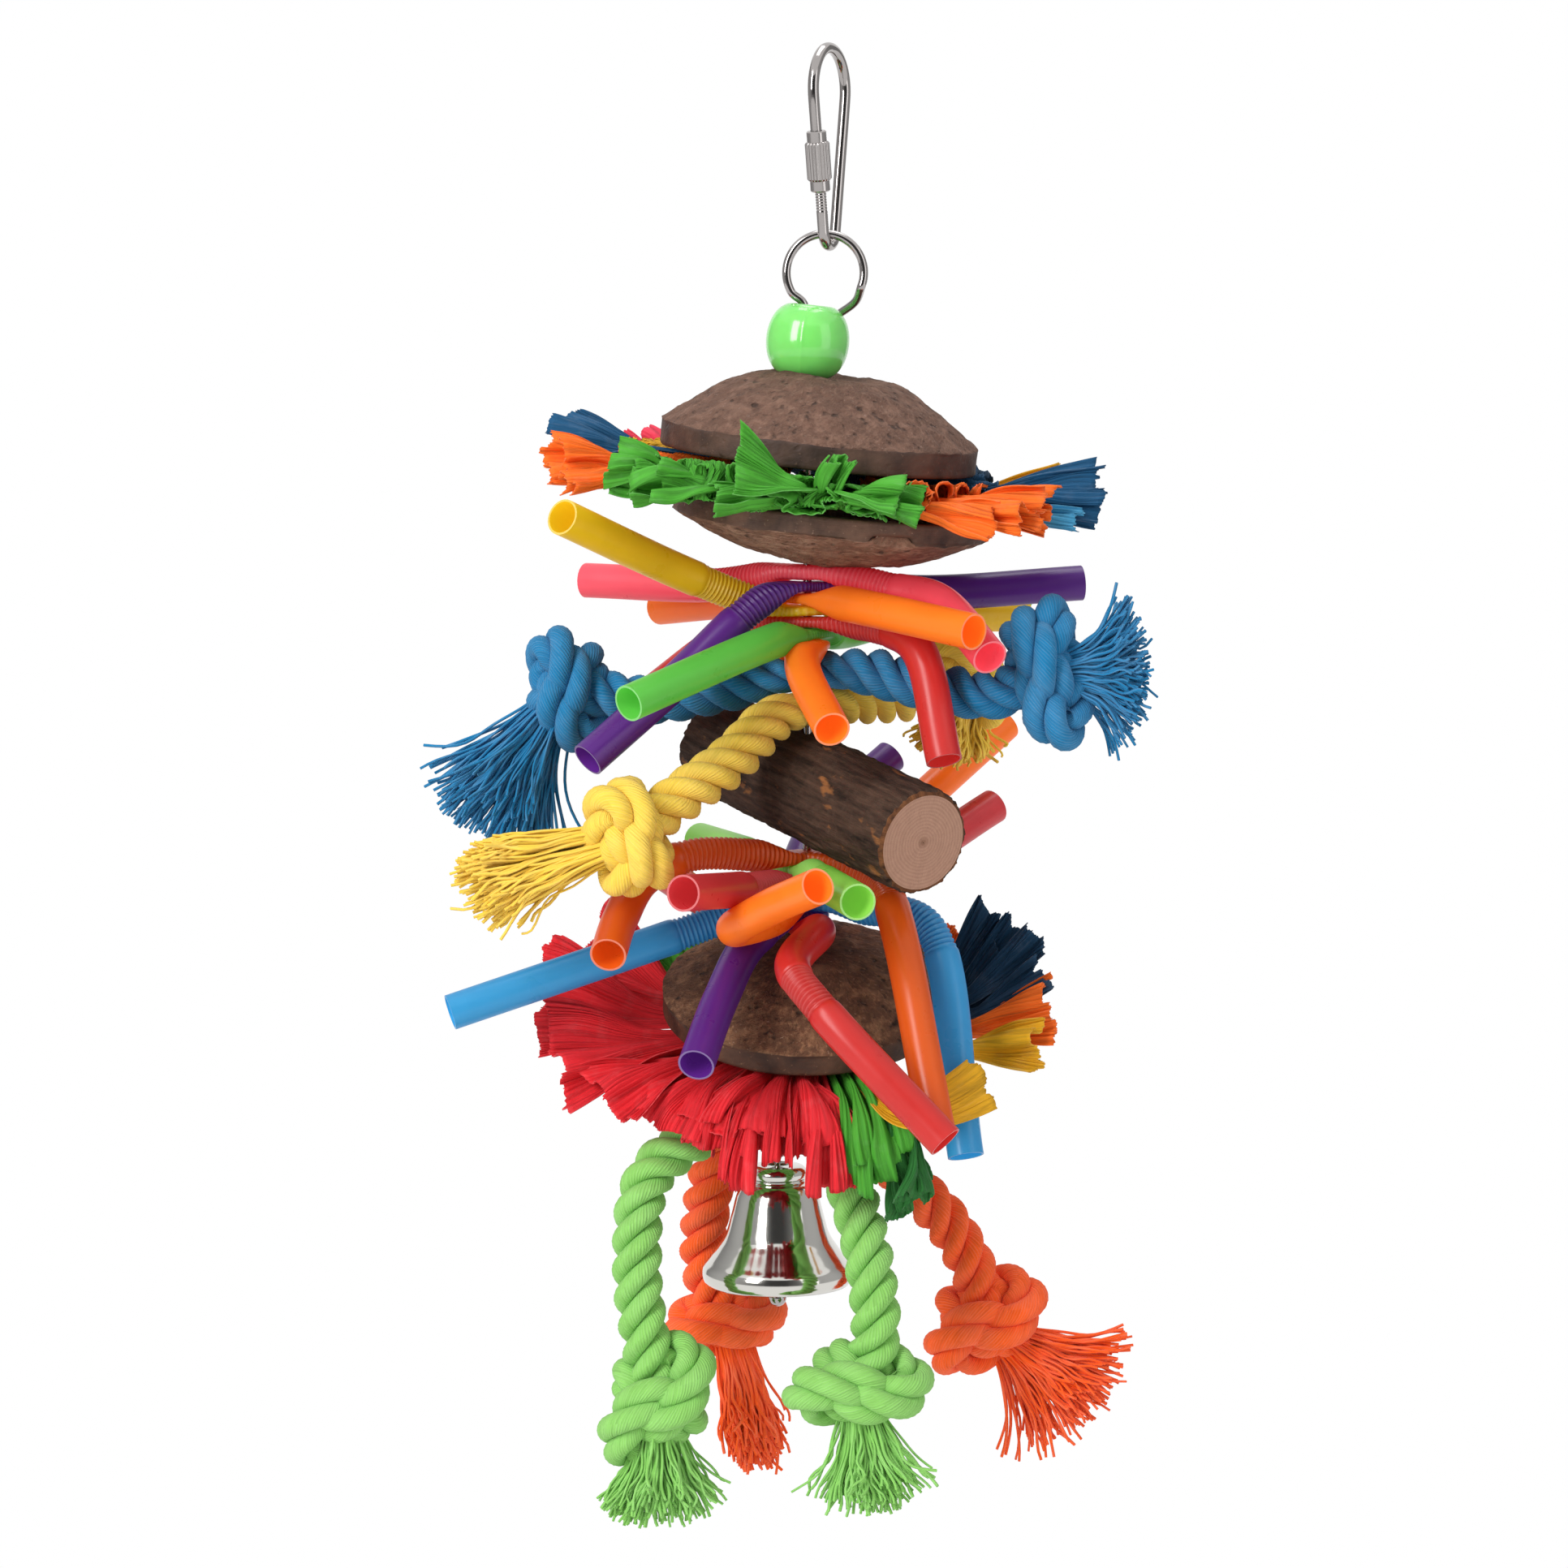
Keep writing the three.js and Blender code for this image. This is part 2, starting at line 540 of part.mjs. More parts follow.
// Straw: smooth ends, a ribbed middle, and a flattened waist where the stem pierces it
function straw(level, left, right) {
  const path = threaded(level, left, right);
  const section = (s, dia, inset) => {
    const flat = 1 - smooth(Math.abs(s), STRAW_FLAT_REACH * 0.7, STRAW_ROUND_REACH);
    const halfWidth = lerp(dia / 2, STRAW_FLAT_WIDTH / 2, flat) - inset;
    const halfHeight = lerp(dia / 2, STRAW_FLAT / 2, flat) - inset;
    return ringAt(path, s, halfWidth, halfHeight, STRAW_SIDES);
  };
  const outer = [];
  const inner = [];
  const ring = (s, dia, lining) => {
    outer.push(section(s, dia, 0));
    inner.push(section(s, lining, STRAW_WALL));
  };
  const waist = STRAW_FLAT_REACH * 0.7;
  const ribFrom = Math.max(path.from * 0.6, -RIB_REACH);
  const ribTo = Math.min(path.to * 0.6, RIB_REACH);
  const ribs = (from, to) => {
    const pitch = (to - from) / ARM_RIBS;
    for (let i = 0; i < ARM_RIBS; i++) {
      ring(from + (i + 0.2) * pitch, RIB_ROOT_DIA, RIB_ROOT_DIA);
      ring(from + (i + 0.7) * pitch, RIB_DIA, RIB_ROOT_DIA);
    }
  };
  const plain = (s) => ring(s, STRAW_DIA, STRAW_DIA);
  path.stops.filter((s) => s < ribFrom - STRAW_DIA / 2).forEach(plain);
  plain(ribFrom - 1);
  ribs(ribFrom, -waist);
  ring(-waist, RIB_ROOT_DIA, RIB_ROOT_DIA);
  ring(waist, RIB_ROOT_DIA, RIB_ROOT_DIA);
  ribs(waist, ribTo);
  plain(ribTo + 1);
  path.stops.filter((s) => s > ribTo + STRAW_DIA / 2).forEach(plain);
  return skin(outer, inner).subtract(bore);
}

const upperStrawRoutes = [
  {
    name: "straw_pink_upper",
    colour: 0xff6e7d,
    left: [[-18.5, 12, -2.5], [-44.6, 26, -2.4]],
    right: [[17, -8, -2.6], [25, -14, -4.2], [34.4, -32, -14]],
  },
  {
    name: "straw_purple_upper",
    colour: 0x5f238c,
    left: [[-10.5, -7.5, -3.5], [-26, -13, -18], [-42.3, -24, -32]],
    right: [[23.3, 8, -1.6], [54.7, 14, 0]],
  },
  {
    name: "straw_orange_upper",
    colour: 0xff821e,
    left: [[-14, 20, -1.5], [-30, 38, -4]],
    right: [[14.5, -21, -1.4], [31.1, -38, -4.2]],
  },
  {
    name: "straw_yellow_upper",
    colour: 0xe1c828,
    left: [[-13, 0.5, 2.5], [-25.4, -6, 8], [-46.5, -33, 19.5]],
    right: [[19, 13, -1.5], [43.7, 28, -2.5]],
  },
  {
    name: "straw_red_upper",
    colour: 0xeb3c41,
    left: [[-14.5, 9, -3], [-33, 22, -17]],
    right: [[13.4, -9, -0.5], [21, -17, -4], [26, -27, -25]],
  },
  {
    name: "straw_green_upper",
    colour: 0x55cd55,
    left: [[-9.5, -17, -1.5], [-33.8, -42, -10.5]],
    right: [[8, 17, -0.5], [24, 32, 3], [45, 44, 6]],
  },
  {
    name: "straw_orange_front",
    colour: 0xff821e,
    left: [[-1, -14, -3.5], [4.4, -37, -13.5]],
    right: [[-6, 15, -2], [-10, 46, -6]],
  },
];

const lowerStrawRoutes = [
  {
    name: "straw_redorange_lower",
    colour: 0xd24114,
    left: [[-11, -7, 1], [-24, -11, 0.5], [-32, -14, -3], [-36, -24, -9], [-38, -37, -14.5]],
    right: [[14, -9, -3.5], [17, -21, -10], [24.3, -44, -47]],
  },
  {
    name: "straw_lightgreen_lower",
    colour: 0x8cdc78,
    left: [[1.5, -16, 0.2], [9.2, -46, -1]],
    right: [[-9, 14, 0.5], [-22, 44, 1]],
  },
  {
    name: "straw_pink_lower",
    colour: 0xff5f5a,
    left: [[-10.5, -15.5, 0.5], [-24, -42, 3]],
    right: [[16, 8, 1], [38, 27, 12]],
  },
  {
    name: "straw_orange_lower",
    colour: 0xff821e,
    left: [[-6.5, -14, -3.4], [-14.2, -22, -4.6], [-7, -36, 1.5], [1.7, -50, 7]],
    right: [[6.5, 15.5, 1], [24, 37, 15], [41.4, 52, 29]],
  },
  {
    name: "straw_blue_lower",
    colour: 0x2da0dc,
    left: [[-14, -2, -2], [-28, -5, -6.5], [-69.7, -14, -19.7]],
    right: [[11, -4.5, -0.5], [23.5, -12, -3], [30.4, -28, -45.6]],
  },
  {
    name: "straw_purple_lower",
    colour: 0x5f238c,
    left: [[-12, -10.5, -4], [-18.5, -26, -13], [-21.2, -44, -23]],
    right: [[-3, 17.5, 2.4], [3, 38, 15], [17.6, 50, 27]],
  },
  {
    name: "straw_red_lower",
    colour: 0xeb3c41,
    left: [[2, -13, 0.5], [-3, -30, -4], [2, -41, -10], [25.6, -52, -34]],
    right: [[-14.5, 9, 1.2], [-33, 35, 9]],
  },
];

function straws() {
  upperStrawRoutes.forEach((each, i) => {
    const body = straw(upperStrawTop - i * strawPitch, each.left, each.right);
    place(each.name, body, each.colour, 0.35, 0);
  });
  lowerStrawRoutes.forEach((each, i) => {
    const body = straw(lowerStrawTop - i * strawPitch, each.left, each.right);
    place(each.name, body, each.colour, 0.35, 0);
  });
}

// Knot: a rounded lump with the three strands of an overhand knot showing as swells
function knot(centre, half) {
  const geometry = new THREE.SphereGeometry(1, 12, 8).rotateX(Math.PI / 2);
  const spots = geometry.getAttribute("position");
  for (let i = 0; i < spots.count; i++) {
    const spot = new THREE.Vector3().fromBufferAttribute(spots, i);
    const turn = Math.atan2(spot.y, spot.x);
    const swell = 1 + 0.07 * (1 - spot.z ** 2) * Math.cos(3 * turn + 2 * spot.z);
    spots.setXYZ(i, spot.x * swell * half[0], spot.y * swell * half[1], spot.z * half[2]);
  }
  return solid(geometry.translate(centre.x, centre.y, centre.z));
}

// Tassel: fluted rings that open out from the knot, wide across and deep along the other way
function tassel(spots, wide, deep) {
  const path = route(spots, 0);
  const rings = [];
  const steps = 3;
  const sides = 12;
  for (let i = 0; i <= steps; i++) {
    const t = i / steps;
    const { point, normal, side } = path.frame(lerp(path.from, path.to, t));
    const ring = [];
    for (let j = 0; j < sides; j++) {
      const angle = (j / sides) * 2 * Math.PI;
      const flute = j % 2 ? 1 : 1 - 0.16 * t;
      const spot = point.clone().addScaledVector(side, flute * lerp(wide[0], wide[1], t) * Math.cos(angle));
      ring.push(spot.addScaledVector(normal, flute * lerp(deep[0], deep[1], t) * Math.sin(angle)));
    }
    rings.push(ring);
  }
  return skin(rings);
}

// Rope: a plain tube from knot to knot, squashed where the stem pierces it
function rope(spot, level, left, right) {
  const pierced = vec(stemAt(level), 0, level);
  const path = route([...left.map(spot).reverse(), pierced, ...right.map(spot)], left.length);
  const rings = [];
  const steps = Math.round((path.to - path.from) / ROPE_STEP);
  for (let i = 0; i <= steps; i++) {
    const s = lerp(path.from, path.to, i / steps);
    const flat = 1 - smooth(Math.abs(s), ROPE_FLAT_REACH, ROPE_ROUND_REACH);
    const halfWidth = lerp(ROPE_DIA, ROPE_FLAT_WIDTH, flat) / 2;
    const halfHeight = lerp(ROPE_DIA, ROPE_FLAT, flat) / 2;
    rings.push(ringAt(path, s, halfWidth, halfHeight, ROPE_SIDES));
  }
  return skin(rings).subtract(bore);
}

// The stem's place across at a height: upright, then slanting below the lower cap
function stemAt(z) {
  const share = Math.max(0, (z - bendZ) / (footEyeTop - bendZ));
  return lerp(STEM_X, FOOT_X, share);
}

// Rope routes run from the stem out to the knot's middle. They are measured from the stem at the rope's
// level, drawn for a rope of ROPE_DRAWN, and grow with it.
const ropes = [
  {
    name: "blue",
    colour: 0x328cc3,
    level: blueRopeZ,
    left: {
      route: [[-15, 3, -3.4], [-31, 5, -6.2], [-38, 5.5, -5.5], [-47.5, 6, -3.8]],
      half: [9.2, 10, 13],
      tassel: [[-53, 6, -11], [-60, 5, -21], [-67, 4, -32]],
      wide: [5, 13],
      deep: [5, 8],
    },
    right: {
      route: [[10.6, -4, 0.2], [24.4, -10, -2.4], [36, -14.5, -3.6], [46, -18, 1]],
      half: [9.6, 11, 15.5],
      tassel: [[53, -18, 1], [59, -18, 1], [65.5, -18, 0.5]],
      wide: [6, 8],
      deep: [9, 18],
    },
  },
  {
    name: "yellow",
    colour: 0xf5dc5a,
    level: yellowRopeZ,
    left: {
      route: [[-6, -7, -0.8], [-15, -17, -8.6], [-24.3, -25, -14.8], [-34.2, -31, -21.8]],
      half: [10.4, 11, 13.5],
      tassel: [[-42, -31, -23.2], [-54, -31, -26.7], [-67, -31, -30.7]],
      wide: [5, 9],
      deep: [5, 12],
    },
    right: {
      route: [[7.3, 8, 1.1], [16, 17, 0.8], [25, 25, 1.2], [33, 31, 3.8]],
      half: [10, 10, 11],
      tassel: [[32, 31, -5.2], [30.5, 30, -9.2], [29, 29, -13.2]],
      wide: [5, 10],
      deep: [5, 7],
    },
  },
  {
    name: "orange",
    colour: 0xf55523,
    level: orangeRopeZ,
    left: {
      route: [[-11, 8, -3], [-16.5, 12, -16], [-20.5, 16, -33.6], [-20.5, 18.5, -46.6], [-16.4, 19, -56.7]],
      half: [12.8, 10, 8],
      tassel: [[-12, 19, -61.6], [-10, 19, -74.6], [-9, 19, -86.6]],
      wide: [5, 8],
      deep: [5, 7],
    },
    right: {
      route: [[5, 6, -2.6], [11, 8, -14.6], [19.5, 9, -25.1], [28.5, 10, -35.1], [34, 10, -45.6],
        [36, 10, -55.1]],
      half: [12.8, 11, 11.6],
      tassel: [[44, 10, -57.6], [51, 10, -64.6], [58, 10, -73.6]],
      wide: [8, 13],
      deep: [7, 9],
    },
  },
  {
    name: "green",
    colour: 0x7dc85f,
    level: greenRopeZ,
    left: {
      route: [[-16.8, -8, -3.4], [-31, -12, -13.6], [-33.4, -15, -30.9], [-31.5, -16, -46.9],
        [-29.5, -16, -57.7]],
      half: [12, 11, 14],
      tassel: [[-29, -16, -65.9], [-28.5, -16, -73.9], [-28, -16, -81.9]],
      wide: [8, 17],
      deep: [7, 10],
    },
    right: {
      route: [[1, -6, -3], [6, -12, -9], [9, -16.5, -17], [12, -22, -29], [13, -25, -43], [9.7, -25, -52.5]],
      half: [15, 11, 9.2],
      tassel: [[11, -25, -57.9], [12.5, -25, -67.9], [13, -25, -76.9]],
      wide: [8, 14],
      deep: [6, 9],
    },
  },
];

function ropeWork() {
  const sized = (sizes, extra) => sizes.map((size) => size * ropeSize + extra);
  for (const each of ropes) {
    const spot = ([x, y, z]) => vec(x, y, z).multiplyScalar(ropeSize).add(vec(STEM_X, 0, each.level));
    let body = rope(spot, each.level, each.left.route, each.right.route);
    for (const side of ["left", "right"]) {
      const end = each[side];
      const centre = spot(end.route[end.route.length - 1]);
      const clear = knot(centre, sized(end.half, FIT));
      body = body.subtract(clear);
      place(`knot_${each.name}_${side}`, knot(centre, sized(end.half, 0)), each.colour, 0.95, 0);
      const brush = tassel(end.tassel.map(spot), sized(end.wide, 0), sized(end.deep, 0)).subtract(clear);
      place(`tassel_${each.name}_${side}`, brush, each.colour, 0.95, 0);
    }
    place(`rope_${each.name}`, body, each.colour, 0.95, 0);
  }
}

// Log
function log() {
  const body = solid(new THREE.CylinderGeometry(LOG_DIA / 2, LOG_DIA / 2, LOG_LENGTH, LOG_SIDES));
  const turn = new THREE.Quaternion().setFromUnitVectors(vec(0, 1, 0), LOG_AXIS);
  const middle = vec(STEM_X, 0, logZ).addScaledVector(LOG_AXIS, LOG_NEAR - LOG_LENGTH / 2);
  return moved(body, new THREE.Matrix4().compose(middle, turn, vec(1, 1, 1))).subtract(bore);
}

// Bell, the wire hanger through its crown, and the clapper on the hanger's foot
const footWireZ = footEyeZ - FOOT_EYE_RADIUS - WIRE;
const hangerTop = footWireZ + WIRE / 2 + FIT + HANGER_WIRE / 2;
const crownTop = footWireZ - WIRE / 2 - CROWN_DROP;
const hangerFoot = crownTop - HANGER_DEPTH;
const bellMouth = crownTop - BELL_HEIGHT;

// Bell outline from the crown down to the mouth, as shares of the bell's radius and height
const BELL_OUTLINE = [
  [0.36, 0.01],
  [0.41, 0.08],
  [0.41, 0.14],
  [0.55, 0.21],
  [0.64, 0.375],
  [0.71, 0.58],
  [0.81, 0.79],
  [1, 0.97],
  [1, 1],
];

function bellDome() {
  const hole = HANGER_RADIUS + HANGER_WIRE / 2 + FIT;
  const outline = BELL_OUTLINE.map(([r, depth]) => [r * BELL_RADIUS, -depth * BELL_HEIGHT]);
  const belowCrown = outline.slice(3, -2).reverse();
  const lining = belowCrown.map(([r, z]) => [r - BELL_WALL, z - BELL_WALL / 3]);
  const mouth = [BELL_RADIUS - BELL_WALL, -BELL_HEIGHT];
  const profile = [[hole, 0], ...outline, mouth, ...lining, [hole, -BELL_WALL], [hole, 0]];
  return lathe(profile, 20).translate([FOOT_X, 0, crownTop]);
}

function bellHanger() {
  const shoulder = HANGER_RADIUS + HANGER_WIDEN;
  const elbow = hangerFoot + HANGER_ELBOW;
  const spot = (y, z) => vec(FOOT_X, y, z);
  const under = crownTop - BELL_WALL - FIT;
  const spots = [spot(shoulder, elbow - HANGER_WIRE / 2), spot(shoulder, elbow), spot(HANGER_RADIUS, under)];
  const turns = 8;
  for (let i = 0; i <= turns; i++) {
    const angle = (Math.PI * i) / turns;
    const y = HANGER_RADIUS * Math.cos(angle);
    spots.push(spot(y, hangerTop - HANGER_RADIUS + HANGER_RADIUS * Math.sin(angle)));
  }
  spots.push(spot(-HANGER_RADIUS, under), spot(-shoulder, elbow));
  spots.push(spot(-shoulder * 0.8, hangerFoot + HANGER_ELBOW / 3), spot(-shoulder * 0.3, hangerFoot));
  spots.push(spot(shoulder * 0.3, hangerFoot), spot(shoulder * 0.75, hangerFoot + HANGER_ELBOW / 6));
  return wireThrough(spots, HANGER_WIRE, 6);
}

function bellClapper() {
  const ringZ = hangerFoot + HANGER_WIRE / 2 + FIT + CLAPPER_WIRE / 2 - CLAPPER_RING;
  const spots = [];
  const turns = 9;
  for (let i = 0; i <= turns; i++) {
    const angle = rad(lerp(-40, 250, i / turns));
    spots.push(vec(FOOT_X + CLAPPER_RING * Math.cos(angle), 0, ringZ + CLAPPER_RING * Math.sin(angle)));
  }
  const ballZ = bellMouth - CLAPPER_DROP;
  const neckZ = ringZ - 2.2 * CLAPPER_RING;
  spots.push(vec(FOOT_X, 0, neckZ), vec(FOOT_X, 0, (neckZ + ballZ) / 2), vec(FOOT_X, 0, ballZ));
  const rod = wireThrough(spots, CLAPPER_WIRE, 6);
  const ball = solid(new THREE.SphereGeometry(CLAPPER_BALL / 2, 12, 8).translate(FOOT_X, 0, ballZ));
  return rod.add(ball);
}

place("quick_link", quickLink(), 0xc0c2c4, 0.25, 1);
place("link_sleeve", linkSleeve(), 0xb4b6b8, 0.3, 1);
place("stem_wire", stemWire(), 0xb8babc, 0.3, 1);
place("top_bead", bead(), 0x78d66c, 0.25, 0);
caps();
papers();
straws();
ropeWork();
place("bark_log", log(), 0x41302a, 0.95, 0);
place("bell_dome", bellDome(), 0xd0d2d4, 0.15, 1);
place("bell_hanger", bellHanger(), 0xc0c2c4, 0.25, 1);
place("bell_clapper", bellClapper(), 0xc0c2c4, 0.25, 1);

export default toy;
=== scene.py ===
# Hanging bird toy: the looks of each piece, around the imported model.
# Shapes are worked out in millimetres in the model's own frame, and each mesh is made in metres.
import math

import bpy
import numpy as np
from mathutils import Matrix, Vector, noise


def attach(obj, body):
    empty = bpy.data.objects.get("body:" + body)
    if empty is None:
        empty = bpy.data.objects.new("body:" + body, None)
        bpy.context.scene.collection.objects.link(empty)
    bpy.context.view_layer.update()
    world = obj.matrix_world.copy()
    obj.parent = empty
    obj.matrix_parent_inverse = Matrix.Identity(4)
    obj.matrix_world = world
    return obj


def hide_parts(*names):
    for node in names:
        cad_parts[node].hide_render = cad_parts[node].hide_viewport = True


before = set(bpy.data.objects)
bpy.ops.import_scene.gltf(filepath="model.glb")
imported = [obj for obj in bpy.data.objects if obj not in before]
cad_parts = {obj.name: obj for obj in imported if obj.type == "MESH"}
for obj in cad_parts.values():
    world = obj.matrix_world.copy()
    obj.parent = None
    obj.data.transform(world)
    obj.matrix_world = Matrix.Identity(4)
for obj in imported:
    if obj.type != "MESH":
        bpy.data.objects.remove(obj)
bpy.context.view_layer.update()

MM = 0.001
TAU = 2 * math.pi
SEEN_RAYS = ("Is Camera Ray", "Is Glossy Ray", "Is Transmission Ray")

# Camera and picture
IMAGE_SIZE = 1932
FOCAL_PIXELS = 5651
SENSOR_MM = 36.0
CAMERA_SPOT = (-8.82, -900.0, -55.82)
CAMERA_PITCH_DEG = -5.5

# The gap between pieces, the stem's places across, and heights down the stem
FIT = 0.3
STEM_X = -4.2
FOOT_X = -10.1
EYE_Z = -42.3
BEAD_TOP = -48.5
UPPER_CAP_TOP = -62.6
UNDER_FOOT = -99.0
UPPER_STRAW_TOP = -101.25
STRAW_PITCH = 2.3
BLUE_ROPE_Z = -120.05
YELLOW_ROPE_Z = -127.75
LOG_Z = -142.87
LOWER_STRAW_TOP = -156.99
LOWER_CAP_TOP = -175.1
BEND_Z = -188.1
ORANGE_ROPE_Z = -197.4
GREEN_ROPE_Z = -205.1
FOOT_EYE_TOP = -210.1
FOOT_WIRE_Z = -216.2
CROWN_TOP = -218.25
HANGER_FOOT = -222.85
BELL_MOUTH = -242.25


def colour(red, green, blue):
    """A display colour, 0 to 255, as the linear colour that a shader takes."""
    shares = (channel / 255 for channel in (red, green, blue))
    linear = [share / 12.92 if share <= 0.04045 else ((share + 0.055) / 1.055) ** 2.4 for share in shares]
    return (*linear, 1.0)


def darker(shade, share):
    return (*(channel * share for channel in shade[:3]), 1.0)


def paler(shade, share):
    return (*(channel + (1 - channel) * share for channel in shade[:3]), 1.0)


def unit(vectors):
    return vectors / np.linalg.norm(vectors, axis=-1, keepdims=True)


def full_turn(sides):
    return np.arange(sides) / sides * TAU


def turned(radius, height, angle):
    """Rings round an upright axis at the origin: a row for each radius and height."""
    return np.stack(np.broadcast_arrays(radius * np.cos(angle), radius * np.sin(angle), height), -1)


def spun(x, y, angle):
    """Two measures of a point, after a turn in their plane."""
    return x * np.cos(angle) - y * np.sin(angle), x * np.sin(angle) + y * np.cos(angle)


def column(value, s):
    """A number, or one for each s, as a column that multiplies rings of points."""
    return np.broadcast_to(value, np.shape(s))[:, None, None]


def ease(value, low, high):
    """0 at low, 1 at high, with a smooth start and stop."""
    share = np.clip((value - low) / (high - low), 0, 1)
    return share * share * (3 - 2 * share)


def bumps(points, scale, octaves=3):
    """Lumpy noise of about -1 to 1 at each point; scale is the size of a lump in millimetres."""
    flat = np.reshape(points, (-1, 3)) / scale
    lumps = [noise.fractal(Vector(spot), 0.9, 2.1, octaves) for spot in flat]
    return np.reshape(lumps, np.shape(points)[:-1])


def squared(value, power):
    return np.sign(value) * np.abs(value) ** power


def tilt(pitch_deg, roll_deg):
    pitch, roll = math.radians(pitch_deg), math.radians(roll_deg)
    about_x = [[1, 0, 0], [0, math.cos(pitch), -math.sin(pitch)], [0, math.sin(pitch), math.cos(pitch)]]
    about_y = [[math.cos(roll), 0, math.sin(roll)], [0, 1, 0], [-math.sin(roll), 0, math.cos(roll)]]
    return np.array(about_x) @ np.array(about_y)


def placed(name, data):
    """A new object in the scene."""
    made = bpy.data.objects.new(name, data)
    bpy.context.collection.objects.link(made)
    return made


class Route:
    """A smooth line through points, measured from the point numbered zero, with frames carried along it."""

    def __init__(self, points, zero=0, dense=40):
        points = np.array(points, float)
        before = 2 * points[0] - points[1]
        after = 2 * points[-1] - points[-2]
        held = np.vstack([before, points, after])
        dots = [points[0]]
        for i in range(len(points) - 1):
            dots.extend(self.span(held[i:i + 4], dense))
        self.dots = np.array(dots)
        steps = np.linalg.norm(np.diff(self.dots, axis=0), axis=1)
        start = zero * dense
        self.along = np.concatenate([[0], np.cumsum(steps)])
        self.along -= self.along[start]
        self.tangents = unit(np.gradient(self.dots, axis=0))
        self.normals = np.zeros_like(self.dots)
        upright = abs(self.tangents[start][2]) < 0.9
        first = np.array([0.0, 0.0, 1.0]) if upright else np.array([0.0, -1.0, 0.0])
        self.normals[start] = self.across(first, self.tangents[start])
        for i in range(start, len(dots) - 1):
            self.normals[i + 1] = self.across(self.normals[i], self.tangents[i + 1])
        for i in range(start, 0, -1):
            self.normals[i - 1] = self.across(self.normals[i], self.tangents[i - 1])

    @staticmethod
    def span(four, dense):
        p0, p1, p2, p3 = four
        d0, d1, d2 = np.sqrt(np.linalg.norm(np.diff(four, axis=0), axis=1))
        leave = ((p1 - p0) / d0 - (p2 - p0) / (d0 + d1) + (p2 - p1) / d1) * d1
        reach = ((p2 - p1) / d1 - (p3 - p1) / (d1 + d2) + (p3 - p2) / d2) * d1
        t = np.arange(1, dense + 1)[:, None] / dense
        square = -3 * p1 + 3 * p2 - 2 * leave - reach
        cube = 2 * p1 - 2 * p2 + leave + reach
        return p1 + leave * t + square * t**2 + cube * t**3

    @staticmethod
    def across(normal, tangent):
        return unit(normal - tangent * np.dot(normal, tangent))

    def length(self):
        return self.along[-1] - self.along[0]

    def spread(self, count):
        return np.linspace(self.along[0], self.along[-1], count)

    def at(self, s):
        """The points at each s, the way the line runs there, its upper side and its left side."""
        def mixed(rows):
            return np.stack([np.interp(s, self.along, rows[:, axis]) for axis in range(3)], axis=-1)

        tangent = unit(mixed(self.tangents))
        normal = mixed(self.normals)
        normal = unit(normal - tangent * np.sum(normal * tangent, axis=-1, keepdims=True))
        return mixed(self.dots), tangent, normal, np.cross(normal, tangent)

    def rings(self, s, half_width, half_height, sides, square=0.0):
        """Rings of points round the line at each s; the sizes are numbers or one for each s."""
        point, _, normal, side = self.at(s)
        angle = full_turn(sides)
        power = 1 - 0.5 * column(square, s)
        over = squared(np.cos(angle)[None, :, None], power)
        up = squared(np.sin(angle)[None, :, None], power)
        wide = column(half_width, s) * over
        high = column(half_height, s) * up
        return point[:, None] + side[:, None] * wide + normal[:, None] * high


